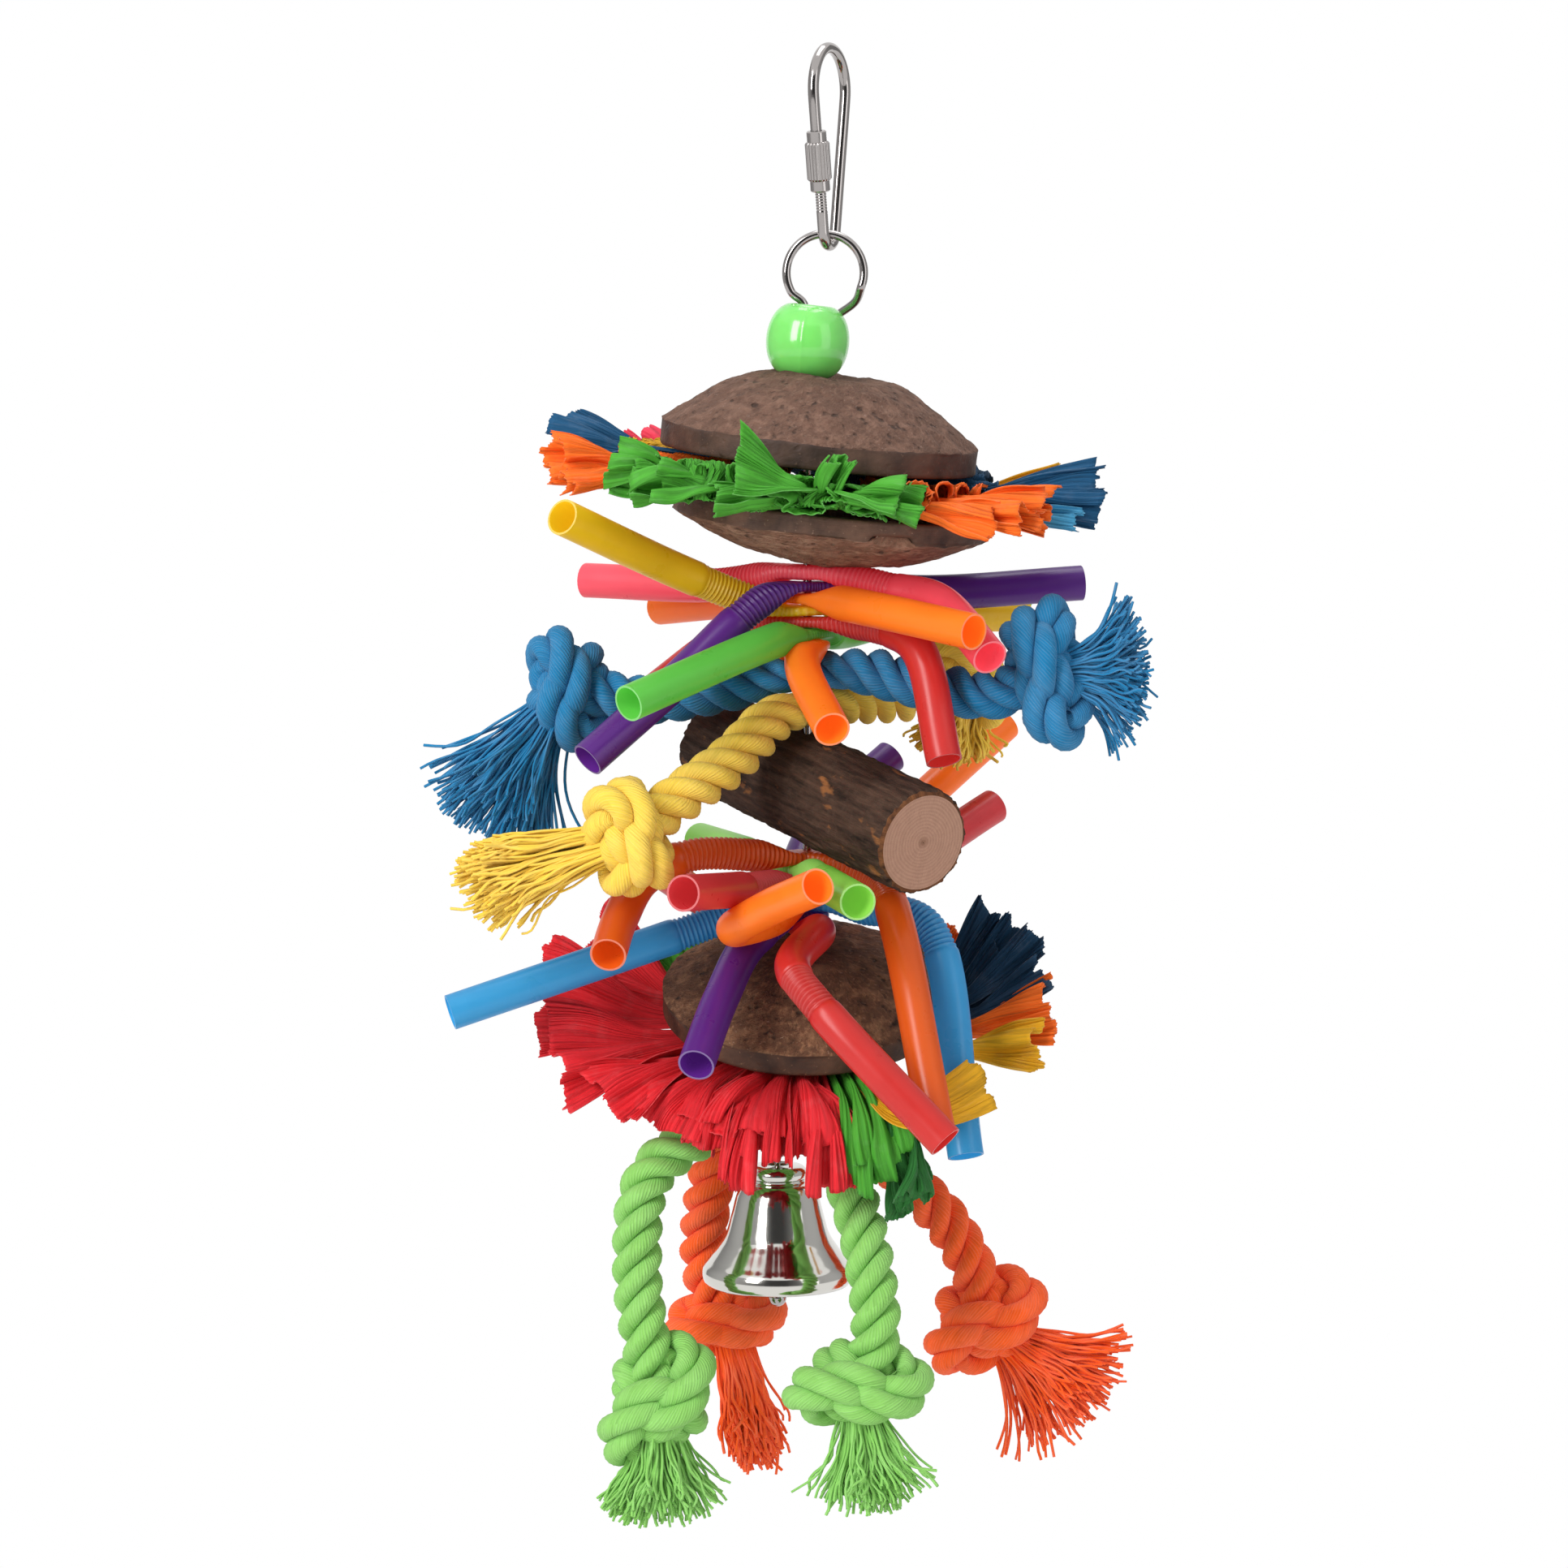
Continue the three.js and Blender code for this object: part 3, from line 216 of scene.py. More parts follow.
class Shape:
    """The points and faces of one piece. Each corner has a turn and a length, each face a zone and a coat."""

    def __init__(self):
        self.points = []
        self.faces = []
        self.corners = []
        self.zones = []
        self.coats = []
        self.count = 0

    def grid(self, rings, wrap=True, lengths=None, turns=None, zone=0.0, coat=0, flip=False):
        """A skin over rows of points, rings[row][column]; zone is a number or one for each row of faces."""
        rings = np.asarray(rings)
        rows, columns = rings.shape[:2]
        lengths = np.arange(rows) if lengths is None else lengths
        spans = columns if wrap else columns - 1
        turns = np.arange(spans + 1) / spans if turns is None else turns
        index = np.arange(rows * columns).reshape(rows, columns) + self.count
        i, j = np.meshgrid(np.arange(rows - 1), np.arange(spans), indexing="ij")
        k = (j + 1) % columns
        faces = np.stack([index[i, j], index[i, k], index[i + 1, k], index[i + 1, j]], -1).reshape(-1, 4)
        near = np.asarray(lengths)[i]
        far = np.asarray(lengths)[i + 1]
        left = np.asarray(turns)[j]
        right = np.asarray(turns)[j + 1]
        spots = [np.stack(pair, -1) for pair in ((left, near), (right, near), (right, far), (left, far))]
        corners = np.stack(spots, -2).reshape(-1, 4, 2)
        if flip:
            faces = faces[:, ::-1]
            corners = corners[:, ::-1]
        zones = np.broadcast_to(np.reshape(zone, (-1, 1)), (rows - 1, spans)).reshape(-1)
        self.points.append(rings.reshape(-1, 3))
        self.faces.append(faces)
        self.corners.append(corners)
        self.zones.append(zones)
        self.coats.append(np.full(len(faces), coat))
        self.count += rows * columns

    def lid(self, ring, flip=False):
        """A flat end inside a ring."""
        ring = np.asarray(ring)
        middle = np.broadcast_to(ring.mean(axis=0), ring.shape)
        shares = np.linspace(1, 0.02, 4)[:, None, None]
        self.grid(middle + (ring - middle) * shares, flip=flip)

    def rod(self, rings, lengths):
        """A skin over rings that is closed at both ends."""
        self.grid(rings, lengths=lengths)
        self.lid(rings[0], flip=True)
        self.lid(rings[-1])

    def put(self, name, finishes):
        """The shape as an object in the scene."""
        mesh = bpy.data.meshes.new(name)
        mesh.from_pydata((np.concatenate(self.points) * MM).tolist(), [], np.concatenate(self.faces).tolist())
        for finish in finishes:
            mesh.materials.append(finish.material)
        return placed(name, mesh)

    def piece(self, name, body, node, slot, *finishes):
        """A visible piece that rides on a body in place of a node."""
        made = self.put(name, finishes)
        mesh = made.data
        layer = mesh.uv_layers.new(name="turn_and_length")
        layer.data.foreach_set("uv", np.concatenate(self.corners).astype(np.float32).ravel())
        zones = mesh.attributes.new("zone", "FLOAT", "FACE")
        zones.data.foreach_set("value", np.concatenate(self.zones).astype(np.float32))
        mesh.polygons.foreach_set("use_smooth", np.full(len(mesh.polygons), True))
        mesh.polygons.foreach_set("material_index", np.concatenate(self.coats))
        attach(made, body)
        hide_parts(node)
        return made


class Value:
    """A shader socket that Python sums add Math nodes to."""

    def __init__(self, nodes, socket):
        self.nodes = nodes
        self.socket = socket

    def maths(self, operation, *others, reflected=False):
        terms = [*others, self] if reflected else [self, *others]
        return self.nodes.node("ShaderNodeMath", {"operation": operation}, dict(enumerate(terms)))

    def __add__(self, other):
        return self.maths("ADD", other)

    __radd__ = __add__

    def __sub__(self, other):
        return self.maths("SUBTRACT", other)

    def __rsub__(self, other):
        return self.maths("SUBTRACT", other, reflected=True)

    def __mul__(self, other):
        return self.maths("MULTIPLY", other)

    __rmul__ = __mul__

    def __truediv__(self, other):
        return self.maths("DIVIDE", other)

    def __pow__(self, other):
        return self.maths("POWER", other)

    def __gt__(self, other):
        return self.maths("GREATER_THAN", other)

    def __lt__(self, other):
        return self.maths("LESS_THAN", other)

    def sine(self):
        return self.maths("SINE")

    def most(self, other):
        return self.maths("MAXIMUM", other)

    def between(self, low, high):
        """0 below low, 1 above high, and a straight rise between them."""
        sockets = {"Value": self, "From Min": low, "From Max": high}
        return self.nodes.node("ShaderNodeMapRange", {"clamp": True}, sockets)


class Nodes:
    """The nodes of a material or of the world."""

    def __init__(self, owner):
        owner.use_nodes = True
        self.tree = owner.node_tree

    def node(self, kind, settings=None, sockets=None, output=0):
        made = self.tree.nodes.new(kind)
        for name, value in (settings or {}).items():
            setattr(made, name, value)
        for name, value in (sockets or {}).items():
            if isinstance(value, Value):
                self.tree.links.new(value.socket, made.inputs[name])
            else:
                made.inputs[name].default_value = value
        return Value(self, made.outputs[output])

    def mix(self, share, first, second):
        return self.node("ShaderNodeMixShader", sockets={0: share, 1: first, 2: second})

    def end(self, output, surface):
        self.tree.links.new(surface.socket, self.tree.nodes[output].inputs["Surface"])

    def seen(self):
        """1 for a ray from the camera, from a mirror or through glass, and 0 for the light on a surface."""
        path = self.node("ShaderNodeLightPath")
        rays = [Value(self, path.socket.node.outputs[name]) for name in SEEN_RAYS]
        return rays[0].most(rays[1]).most(rays[2])


class Finish(Nodes):
    """One material: its nodes and the shader that they feed."""

    def __init__(self, name, **constants):
        self.material = bpy.data.materials.new(name)
        super().__init__(self.material)
        self.shader = self.tree.nodes["Principled BSDF"]
        for socket, value in constants.items():
            self.shader.inputs[socket.replace("_", " ")].default_value = value

    def feed(self, socket, value):
        self.tree.links.new(value.socket, self.shader.inputs[socket])

    def skin(self):
        return Value(self, self.shader.outputs[0])

    def place(self):
        return self.node("ShaderNodeTexCoord", output="Object")

    def turn_and_length(self):
        lay = self.node("ShaderNodeUVMap", {"uv_map": "turn_and_length"})
        split = self.node("ShaderNodeSeparateXYZ", sockets={"Vector": lay})
        return split, Value(self, split.socket.node.outputs["Y"])

    def zone(self):
        return self.node("ShaderNodeAttribute", {"attribute_name": "zone"}, output="Fac")

    def joined(self, x, y, z=0.0):
        return self.node("ShaderNodeCombineXYZ", sockets={"X": x, "Y": y, "Z": z})

    def grain(self, vector, scale, detail=3.0, roughness=0.55):
        sockets = {"Vector": vector, "Scale": scale, "Detail": detail, "Roughness": roughness}
        return self.node("ShaderNodeTexNoise", {"normalize": True}, sockets)

    def blend(self, share, first, second):
        """The first colour where the share is 0, and the second where it is 1."""
        settings = {"data_type": "RGBA", "blend_type": "MIX"}
        return self.node("ShaderNodeMix", settings, {0: share, 6: first, 7: second}, output=2)

    def bump(self, height, depth, strength=1.0):
        sockets = {"Height": height, "Distance": depth, "Strength": strength}
        self.feed("Normal", self.node("ShaderNodeBump", sockets=sockets))


# Camera

def view_camera():
    lens = bpy.data.cameras.new("view_camera")
    lens.sensor_width = SENSOR_MM
    lens.lens = FOCAL_PIXELS / IMAGE_SIZE * SENSOR_MM
    stand = placed("view_camera", lens)
    stand.location = [length * MM for length in CAMERA_SPOT]
    stand.rotation_euler = (math.radians(90 + CAMERA_PITCH_DEG), 0, 0)
    bpy.context.scene.camera = stand


view_camera()
bpy.context.scene.view_settings.view_transform = "Standard"

# Cotton rope finish

ROPE_COLOURS = {
    "blue": colour(28, 122, 172),
    "yellow": colour(246, 208, 78),
    "orange": colour(255, 96, 30),
    "green": colour(140, 204, 100),
}


def cotton(name, shade, yarns, slant, depth):
    """Spun cotton: fine yarns slanting across the strand, with soft colour change and a fuzzy sheen."""
    finish = Finish(name, Roughness=0.95, Sheen_Weight=0.1, Sheen_Roughness=0.5, Specular_IOR_Level=0.15)
    turn, length = finish.turn_and_length()
    slanted = turn * yarns + length * slant
    fibre = finish.grain(finish.joined(slanted, length * 1.5), 1.0, 4.0)
    wave = (slanted * TAU).sine() * 0.5 + 0.5
    patch = finish.grain(finish.place(), 130.0, 2.0)
    # Darker along the low fibres: partly the yarns' own tone, partly painted shade in the grooves
    mixed = finish.blend(fibre.between(0.25, 0.6), darker(shade, 0.78), shade)
    # Paler on the tops of the slanting yarns: painted highlights
    mixed = finish.blend((wave * fibre).between(0.25, 0.7) * 0.5, mixed, paler(shade, 0.14))
    mixed = finish.blend(patch.between(0.4, 0.75) * 0.3, mixed, paler(shade, 0.12))
    finish.feed("Base Color", mixed)
    finish.bump(wave * 0.4 + fibre, depth, 0.7)
    return finish


def cottons(kind, *spun_as):
    return {name: cotton(f"{name}_cotton_{kind}", shade, *spun_as) for name, shade in ROPE_COLOURS.items()}


rope_finish = cottons("rope", 26, 30.0, 0.0003)
yarn_finish = cottons("yarn", 2, 1.0, 0.0001)

# Ropes

ROPE_DIA = 10.0
ROPE_FLAT = 7.4
ROPE_FLAT_WIDTH = 11.6
ROPE_FLAT_REACH = 3.0
ROPE_ROUND_REACH = 16.0
ROPE_LAY = 16.5
ROPE_STEP = 0.65
# The cotton's pattern counts lengths in centimetres
COTTON_UNIT = 10
STRANDS = 3
STRAND_SIDES = 14
STRAND_OFFSET = 0.51
STRAND_DEEP = 0.49
STRAND_WIDE = 0.55

# Each end: the route from the stem to the knot's middle, the knot's half sizes, the tassel's foot and its fan
ROPES = {
    "blue": {
        "level": BLUE_ROPE_Z,
        "left": {
            "route": [(-15, 3, -3.4), (-31, 5, -6.2), (-38, 5.5, -5.5), (-47.5, 6, -3.8)],
            "half": (9.2, 10, 13), "foot": (-67, 4, -32), "fan": (20, 12),
        },
        "right": {
            "route": [(10.6, -4, 0.2), (24.4, -10, -2.4), (36, -14.5, -3.6), (46, -18, 1)],
            "half": (9.6, 11, 15.5), "foot": (65.5, -18, 0.5), "fan": (19, 10),
        },
    },
    "yellow": {
        "level": YELLOW_ROPE_Z,
        "left": {
            "route": [(-6, -7, -0.8), (-15, -17, -8.6), (-24.3, -25, -14.8), (-34.2, -31, -21.8)],
            "half": (9.5, 10.3, 12.7), "foot": (-67, -31, -30.7), "fan": (11, 9),
        },
        "right": {
            "route": [(7.3, 8, 1.1), (16, 17, 0.8), (25, 25, 1.2), (33, 31, 3.8)],
            "half": (9.6, 9.5, 10.4), "foot": (29, 29, -13.2), "fan": (10, 7),
        },
    },
    "orange": {
        "level": ORANGE_ROPE_Z,
        "left": {
            "route": [
                (-11, 8, -3), (-16.5, 12, -16), (-20.5, 16, -33.6), (-20.5, 18.5, -46.6), (-16.4, 19, -56.7),
            ],
            "half": (12.8, 10, 8), "foot": (-9, 19, -86.6), "fan": (8, 7),
        },
        "right": {
            "route": [
                (5, 6, -2.6), (11, 8, -14.6), (19.5, 9, -25.1), (28.5, 10, -35.1), (34, 10, -45.6),
                (36, 10, -55.1),
            ],
            "half": (12.8, 11, 11.6), "foot": (58, 10, -73.6), "fan": (22, 10),
        },
    },
    "green": {
        "level": GREEN_ROPE_Z,
        "left": {
            "route": [
                (-16.8, -8, -3.4), (-31, -12, -13.6), (-33.4, -15, -30.9), (-31.5, -16, -46.9),
                (-29.5, -16, -57.7),
            ],
            "half": (12, 11, 14), "foot": (-28, -16, -81.9), "fan": (15, 9),
        },
        "right": {
            "route": [
                (1, -6, -3), (6, -12, -9), (9, -16.5, -17), (12, -22, -29), (13, -25, -43), (9.7, -25, -52.5),
            ],
            "half": (15, 11, 9.2), "foot": (13, -25, -76.9), "fan": (15, 9),
        },
    },
}


def stem_at(z):
    """The stem's place across at a height: upright, then slanting below the lower cap."""
    share = max(0.0, (z - BEND_Z) / (FOOT_EYE_TOP - BEND_Z))
    return STEM_X + (FOOT_X - STEM_X) * share


def from_stem(spots, level):
    return [np.array(spot, float) + (STEM_X, 0, level) for spot in spots]


def lay_strands(shape, route, s, half_width, half_height, lay):
    """Three strands laid round a line."""
    point, _, normal, side = route.at(s)
    angle = full_turn(STRAND_SIDES)
    out = STRAND_OFFSET + STRAND_DEEP * np.cos(angle)
    round_about = STRAND_WIDE * np.sin(angle)
    for strand in range(STRANDS):
        twist = TAU * (s / lay + strand / STRANDS)
        over, up = spun(out, round_about, twist[:, None])
        rings = point[:, None] + side[:, None] * column(half_width, s) * over[..., None]
        rings = rings + normal[:, None] * column(half_height, s) * up[..., None]
        shape.rod(rings, s / COTTON_UNIT)


def rope_route(rope):
    left = from_stem(rope["left"]["route"], rope["level"])
    right = from_stem(rope["right"]["route"], rope["level"])
    pierced = np.array([stem_at(rope["level"]), 0, rope["level"]])
    return Route([*left[::-1], pierced, *right], len(left))


def rope_leg(name, rope):
    route = rope_route(rope)
    s = route.spread(int(route.length() / ROPE_STEP))
    flat = 1 - ease(np.abs(s), ROPE_FLAT_REACH, ROPE_ROUND_REACH)
    half_width = (ROPE_DIA + (ROPE_FLAT_WIDTH - ROPE_DIA) * flat) / 2
    half_height = (ROPE_DIA + (ROPE_FLAT - ROPE_DIA) * flat) / 2
    shape = Shape()
    lay_strands(shape, route, s, half_width, half_height, ROPE_LAY)
    slot = f"rope_{name}"
    made = shape.piece(f"{name}_rope_strands", f"{name}_rope", slot, slot, rope_finish[name])
    return made, route


# Knots: an overhand knot pulled tight, whose rope winds round the line that it came in on

KNOT_ROPE = 4.7
KNOT_REACH = 5.9
KNOT_WAVE = 3.5
KNOT_DRAW = 3.2
KNOT_LAY = 23.0
KNOT_POINTS = 49
KNOT_STEPS = 170
# The way that the flat of each knot faces, away from the front and slightly up
KNOT_FACE = (0.0, 1.0, 0.15)


def rope_knot(name, side, end, level):
    route = from_stem(end["route"], level)
    centre = route[-1]
    arrival = unit(centre - route[-2])
    over = unit(np.cross(arrival, KNOT_FACE))
    front = np.cross(over, arrival)
    turn = np.linspace(math.pi, 3 * math.pi, KNOT_POINTS)
    reach = KNOT_REACH + KNOT_WAVE * np.cos(3 * turn)
    depth = KNOT_WAVE * np.sin(3 * turn) + KNOT_DRAW * (turn - 2 * math.pi) / math.pi
    line = np.outer(reach * np.cos(2 * turn), front) + np.outer(reach * np.sin(2 * turn), over)
    line += np.outer(depth, arrival)
    line *= (np.array(end["half"]) - KNOT_ROPE) / np.abs(line).max(axis=0)
    path = Route(line + centre, dense=4)
    shape = Shape()
    lay_strands(shape, path, path.spread(KNOT_STEPS), KNOT_ROPE, KNOT_ROPE, KNOT_LAY)
    names = f"{name}_{side}_knot", f"{name}_rope", f"knot_{name}_{side}", f"rope_{name}"
    return shape.piece(*names, rope_finish[name])


# Tassels: the rope's yarns let loose below the knot

YARNS = 320
CLUMPS = 20
YARN_RADIUS = 0.29
YARN_SIDES = 5
YARN_STEPS = 15
STRAY_SHARE = 0.06
STRAY_LONGER = 1.08
STRAY_WIDER = 1.3
STRAY_SWAY = 1.3
YARN_SWAY = 0.7
YARN_REACH = (0.84, 1.04)
YARN_THICK = (0.85, 1.2)
YARN_WAVES = (0.8, 2.2)
CLUMP_SPREAD = 0.75
OWN_SPREAD = 0.3
# Where a yarn starts past the knot's middle and how far to the side, in millimetres
ROOT_REACH = 3
ROOT_SPREAD = 4
# Where its middle is, as a share of its reach and of its spread
MIDDLE_REACH = 0.45
MIDDLE_SPREAD = 0.18
# How much shorter the outer yarns are, and how much lower they hang
OUTER_SHORTER = 0.3
OUTER_DROOP = 0.08
# How far apart two yarns lie in the cotton's pattern
YARN_SHIFT = 3.7
TASSEL_SEED = 20


def in_disc(draw, count):
    """Random places in a circle of radius 1."""
    angle = draw.uniform(0, TAU, count)
    reach = np.sqrt(draw.uniform(0, 1, count))
    return np.stack([reach * np.cos(angle), reach * np.sin(angle)], -1)


def tassel(name, side, end, level, seed):
    draw = np.random.default_rng(seed)
    knot, foot = from_stem([end["route"][-1], end["foot"]], level)
    axis = unit(foot - knot)
    deep_way = unit(np.array([0.0, 1.0, 0.0]) - axis * axis[1])
    ways = np.stack([np.cross(axis, deep_way), deep_way])
    wide, deep = end["fan"]
    clumps = in_disc(draw, CLUMPS)
    t = np.linspace(0, 1, YARN_STEPS)[:, None]
    shape = Shape()
    for yarn, own in enumerate(in_disc(draw, YARNS)):
        spread = clumps[yarn % CLUMPS] * CLUMP_SPREAD + own * OWN_SPREAD
        stray = draw.uniform() < STRAY_SHARE
        reach = np.linalg.norm(foot - knot) * draw.uniform(*YARN_REACH)
        if stray:
            reach *= STRAY_LONGER
            spread *= STRAY_WIDER
        offset = (spread * (wide, deep)) @ ways
        sunk = 1 - OUTER_SHORTER * spread @ spread
        root = knot + axis * ROOT_REACH + (spread * ROOT_SPREAD) @ ways
        middle = root + axis * reach * MIDDLE_REACH + offset * MIDDLE_SPREAD
        tip = knot + axis * reach * sunk + offset + (0, 0, -OUTER_DROOP * reach * abs(spread[0]))
        line = root * (1 - t) ** 2 + middle * 2 * t * (1 - t) + tip * t**2
        phases = draw.uniform(0, TAU, 2)
        waves = draw.uniform(*YARN_WAVES, 2)
        sway = t * (STRAY_SWAY if stray else YARN_SWAY)
        line = line + sway * np.sin(t * waves * TAU + phases) @ ways
        thread = Route(line, dense=1)
        radius = YARN_RADIUS * draw.uniform(*YARN_THICK)
        rings = thread.rings(thread.along, radius, radius, YARN_SIDES)
        shape.rod(rings, thread.along / COTTON_UNIT + yarn * YARN_SHIFT)
    names = f"{name}_{side}_tassel", f"{name}_rope", f"tassel_{name}_{side}", f"rope_{name}"
    return shape.piece(*names, yarn_finish[name])


def rope_work():
    for count, (name, rope) in enumerate(ROPES.items()):
        strands, route = rope_leg(name, rope)
        for side in ("left", "right"):
            rope_knot(name, side, rope[side], rope["level"])
            seed = TASSEL_SEED + 2 * count + (side == "right")
            tassel(name, side, rope[side], rope["level"], seed)
        route.length() * MM


rope_work()

# Stage: a pale floor, a white surround and soft lamps

FLOOR_Z = -400.0
FLOOR_REACH = 6000.0
FLOOR_SIDES = 96
FLOOR_RINGS = 40
# How far out, in metres, the floor begins to fade to white and has faded
FLOOR_FADE = (0.28, 0.36)
FLOOR_GREY = (0.86, 0.86, 0.86, 1.0)
AMBIENT = 0.5
WHITE = (1.0, 1.0, 1.0, 1.0)
BLACK = (0.0, 0.0, 0.0, 1.0)
FLAG_REACH = 1500.0
FLAG_TURN = 140.0
FLAG_GREY = 0.04
FLAG_EDGE_GREY = 0.45
FLAG_HEIGHTS = (-900.0, 0.0, 900.0)
FLAG_COLUMNS = 41
# The squares of the metres across between which the flag grows paler
FLAG_FADE = (0.1, 2.2)
LAMPS = {
    "key_lamp": {"spot": (-750, -900, 420), "wide": 420, "tall": 950, "watts": 14.0},
    "fill_lamp": {"spot": (950, -750, 100), "wide": 600, "tall": 1100, "watts": 2.9},
    "top_lamp": {"spot": (100, 250, 900), "wide": 650, "tall": 650, "watts": 5.0},
    "low_lamp": {"spot": (-150, -900, -700), "wide": 900, "tall": 700, "watts": 9.0},
}
AIM = (-5, 0, -150)


def surround():
    world = bpy.data.worlds.new("white_surround")
    bpy.context.scene.world = world
    nodes = Nodes(world)
    light = nodes.node("ShaderNodeBackground", sockets={"Color": WHITE, "Strength": AMBIENT})
    white = nodes.node("ShaderNodeBackground", sockets={"Color": WHITE, "Strength": 1.0})
    nodes.end("World Output", nodes.mix(nodes.seen(), light, white))


def pale_floor():
    finish = Finish("pale_floor", Base_Color=FLOOR_GREY, Roughness=0.9)
    reach = finish.node("ShaderNodeVectorMath", {"operation": "LENGTH"}, {0: finish.place()}, output="Value")
    white = finish.node("ShaderNodeEmission", sockets={"Color": WHITE, "Strength": 1.0})
    share = finish.seen() * reach.between(*FLOOR_FADE)
    finish.end("Material Output", finish.mix(share, finish.skin(), white))
    radius = np.geomspace(1, FLOOR_REACH, FLOOR_RINGS)[:, None]
    shape = Shape()
    shape.grid(turned(radius, FLOOR_Z, full_turn(FLOOR_SIDES)), flip=True)
    floor = shape.put("pale_floor", [finish])


def soft_lamps():
    for name, lamp in LAMPS.items():
        light = bpy.data.lights.new(name, "AREA")
        light.shape = "RECTANGLE"
        light.size = lamp["wide"] * MM
        light.size_y = lamp["tall"] * MM
        light.energy = lamp["watts"]
        stand = placed(name, light)
        spot = Vector(lamp["spot"]) * MM
        stand.location = spot
        stand.rotation_euler = (Vector(AIM) * MM - spot).to_track_quat("-Z", "Y").to_euler()


def dark_flag():
    """A curved dark sheet behind the camera, which only polished surfaces show."""
    finish = Finish("dark_flag", Base_Color=BLACK, Roughness=1.0, Emission_Strength=1.0)
    across = finish.node("ShaderNodeSeparateXYZ", sockets={"Vector": finish.place()})
    grey = (across * across).between(*FLAG_FADE) * FLAG_EDGE_GREY + FLAG_GREY
    finish.feed("Emission Color", finish.joined(grey, grey, grey))
    angle = np.radians(np.linspace(-90 - FLAG_TURN, -90 + FLAG_TURN, FLAG_COLUMNS))
    shape = Shape()
    shape.grid(turned(FLAG_REACH, np.array(FLAG_HEIGHTS)[:, None], angle), wrap=False)
    flag = shape.put("dark_flag", [finish])
    flag.visible_camera = False
    flag.visible_diffuse = False
    flag.visible_transmission = False
    flag.visible_shadow = False


surround()
pale_floor()
soft_lamps()
dark_flag()

# Metal finishes


def metal(name, shade, roughness, wear):
    """Plated metal with faint scuffs in its polish."""
    finish = Finish(name, Base_Color=shade, Metallic=1.0)
    scuffs = finish.grain(finish.place(), 450.0, 3.0)
    finish.feed("Roughness", scuffs.between(0.35, 0.8) * wear + roughness)
    return finish


nickel = metal("nickel_plate", colour(172, 167, 165), 0.09, 0.05)
chrome = metal("bell_chrome", colour(214, 212, 206), 0.1, 0.05)

# Quick link and its screw sleeve

LINK_WIRE = 2.2
LINK_TOP_RADIUS = 8.1
LINK_FOOT_RADIUS = 3.0
LINK_LENGTH = 38.1
LINK_TURN = math.radians(67)
SLEEVE_LENGTH = 11.8
SLEEVE_START = 6.7
SLEEVE_GRIP = 2.4
SLEEVE_COLLAR_RADIUS = 1.95
SLEEVE_COLLAR = 2.2
SLEEVE_RIDGES = 22
SLEEVE_RIDGE_SIDES = 8
SLEEVE_GROOVE = 0.2
SLEEVE_BEVEL = 0.25
SLEEVE_PLAY = 0.1
GATE_START = 12.4
GATE_GAP = 5.0
THREAD_PITCH = 0.55
THREAD_REACH = 5.0
link_across = np.array([math.cos(LINK_TURN), math.sin(LINK_TURN), 0.0])
link_top_z = LINK_WIRE / 2 - LINK_TOP_RADIUS
link_foot_z = LINK_WIRE / 2 - LINK_LENGTH + LINK_FOOT_RADIUS
link_taper = math.asin((LINK_TOP_RADIUS - LINK_FOOT_RADIUS) / (link_top_z - link_foot_z))


def link_arc(radius, centre_z, start, stop, steps):
    angles = np.linspace(start, stop, steps)
    up = np.array([0.0, 0.0, 1.0])
    return np.outer(radius * np.cos(angles), link_across) + np.outer(centre_z + radius * np.sin(angles), up)


leg_top = link_arc(LINK_TOP_RADIUS, link_top_z, math.pi + link_taper, 0, 2)[0]
leg_foot = link_arc(LINK_FOOT_RADIUS, link_foot_z, math.pi + link_taper, 0, 2)[0]
leg_down = unit(leg_foot - leg_top)


def bent_wire(name, body, finish, node, points, radius, sides, step, slot, thread=0.0):
    """A round wire through points; thread is the depth of a screw thread near its two ends."""
    route = Route(points)
    s = route.spread(int(route.length() / step))
    ends = np.minimum(s - s[0], s[-1] - s)
    cut = thread * (0.5 - 0.5 * np.cos(TAU * ends / THREAD_PITCH)) * (ends < THREAD_REACH)
    shrink = np.sqrt(np.clip(ends / radius * 2, 0.25, 1))
    rings = route.rings(s, radius * shrink - cut, radius * shrink - cut, sides)
    shape = Shape()
    shape.rod(rings, s)
    shape.piece(name, body, node, slot, finish)


def wire_ring(x, z, radius, first_deg, last_deg, steps):
    """Points on part of an upright circle that faces the front."""
    angles = np.radians(np.linspace(first_deg, last_deg, steps))
    return [(x + radius * math.cos(angle), 0, z + radius * math.sin(angle)) for angle in angles]


def quick_link():
    spots = [leg_top + leg_down * GATE_START, leg_top + leg_down * GATE_START / 2]
    spots.extend(link_arc(LINK_TOP_RADIUS, link_top_z, math.pi + link_taper, -link_taper, 24))
    middle = (link_top_z + link_foot_z) / 2
    spots.extend(link_arc((LINK_TOP_RADIUS + LINK_FOOT_RADIUS) / 2, middle, -link_taper, 0, 1))
    spots.extend(link_arc(LINK_FOOT_RADIUS, link_foot_z, -link_taper, link_taper - math.pi, 18))
    spots.append(leg_top + leg_down * (GATE_START + GATE_GAP + 2.5))
    spots.append(leg_top + leg_down * (GATE_START + GATE_GAP))
    bent_wire("quick_link_wire", "link", nickel, "quick_link", spots, LINK_WIRE / 2, 20, 0.14, "nickel", 0.1)


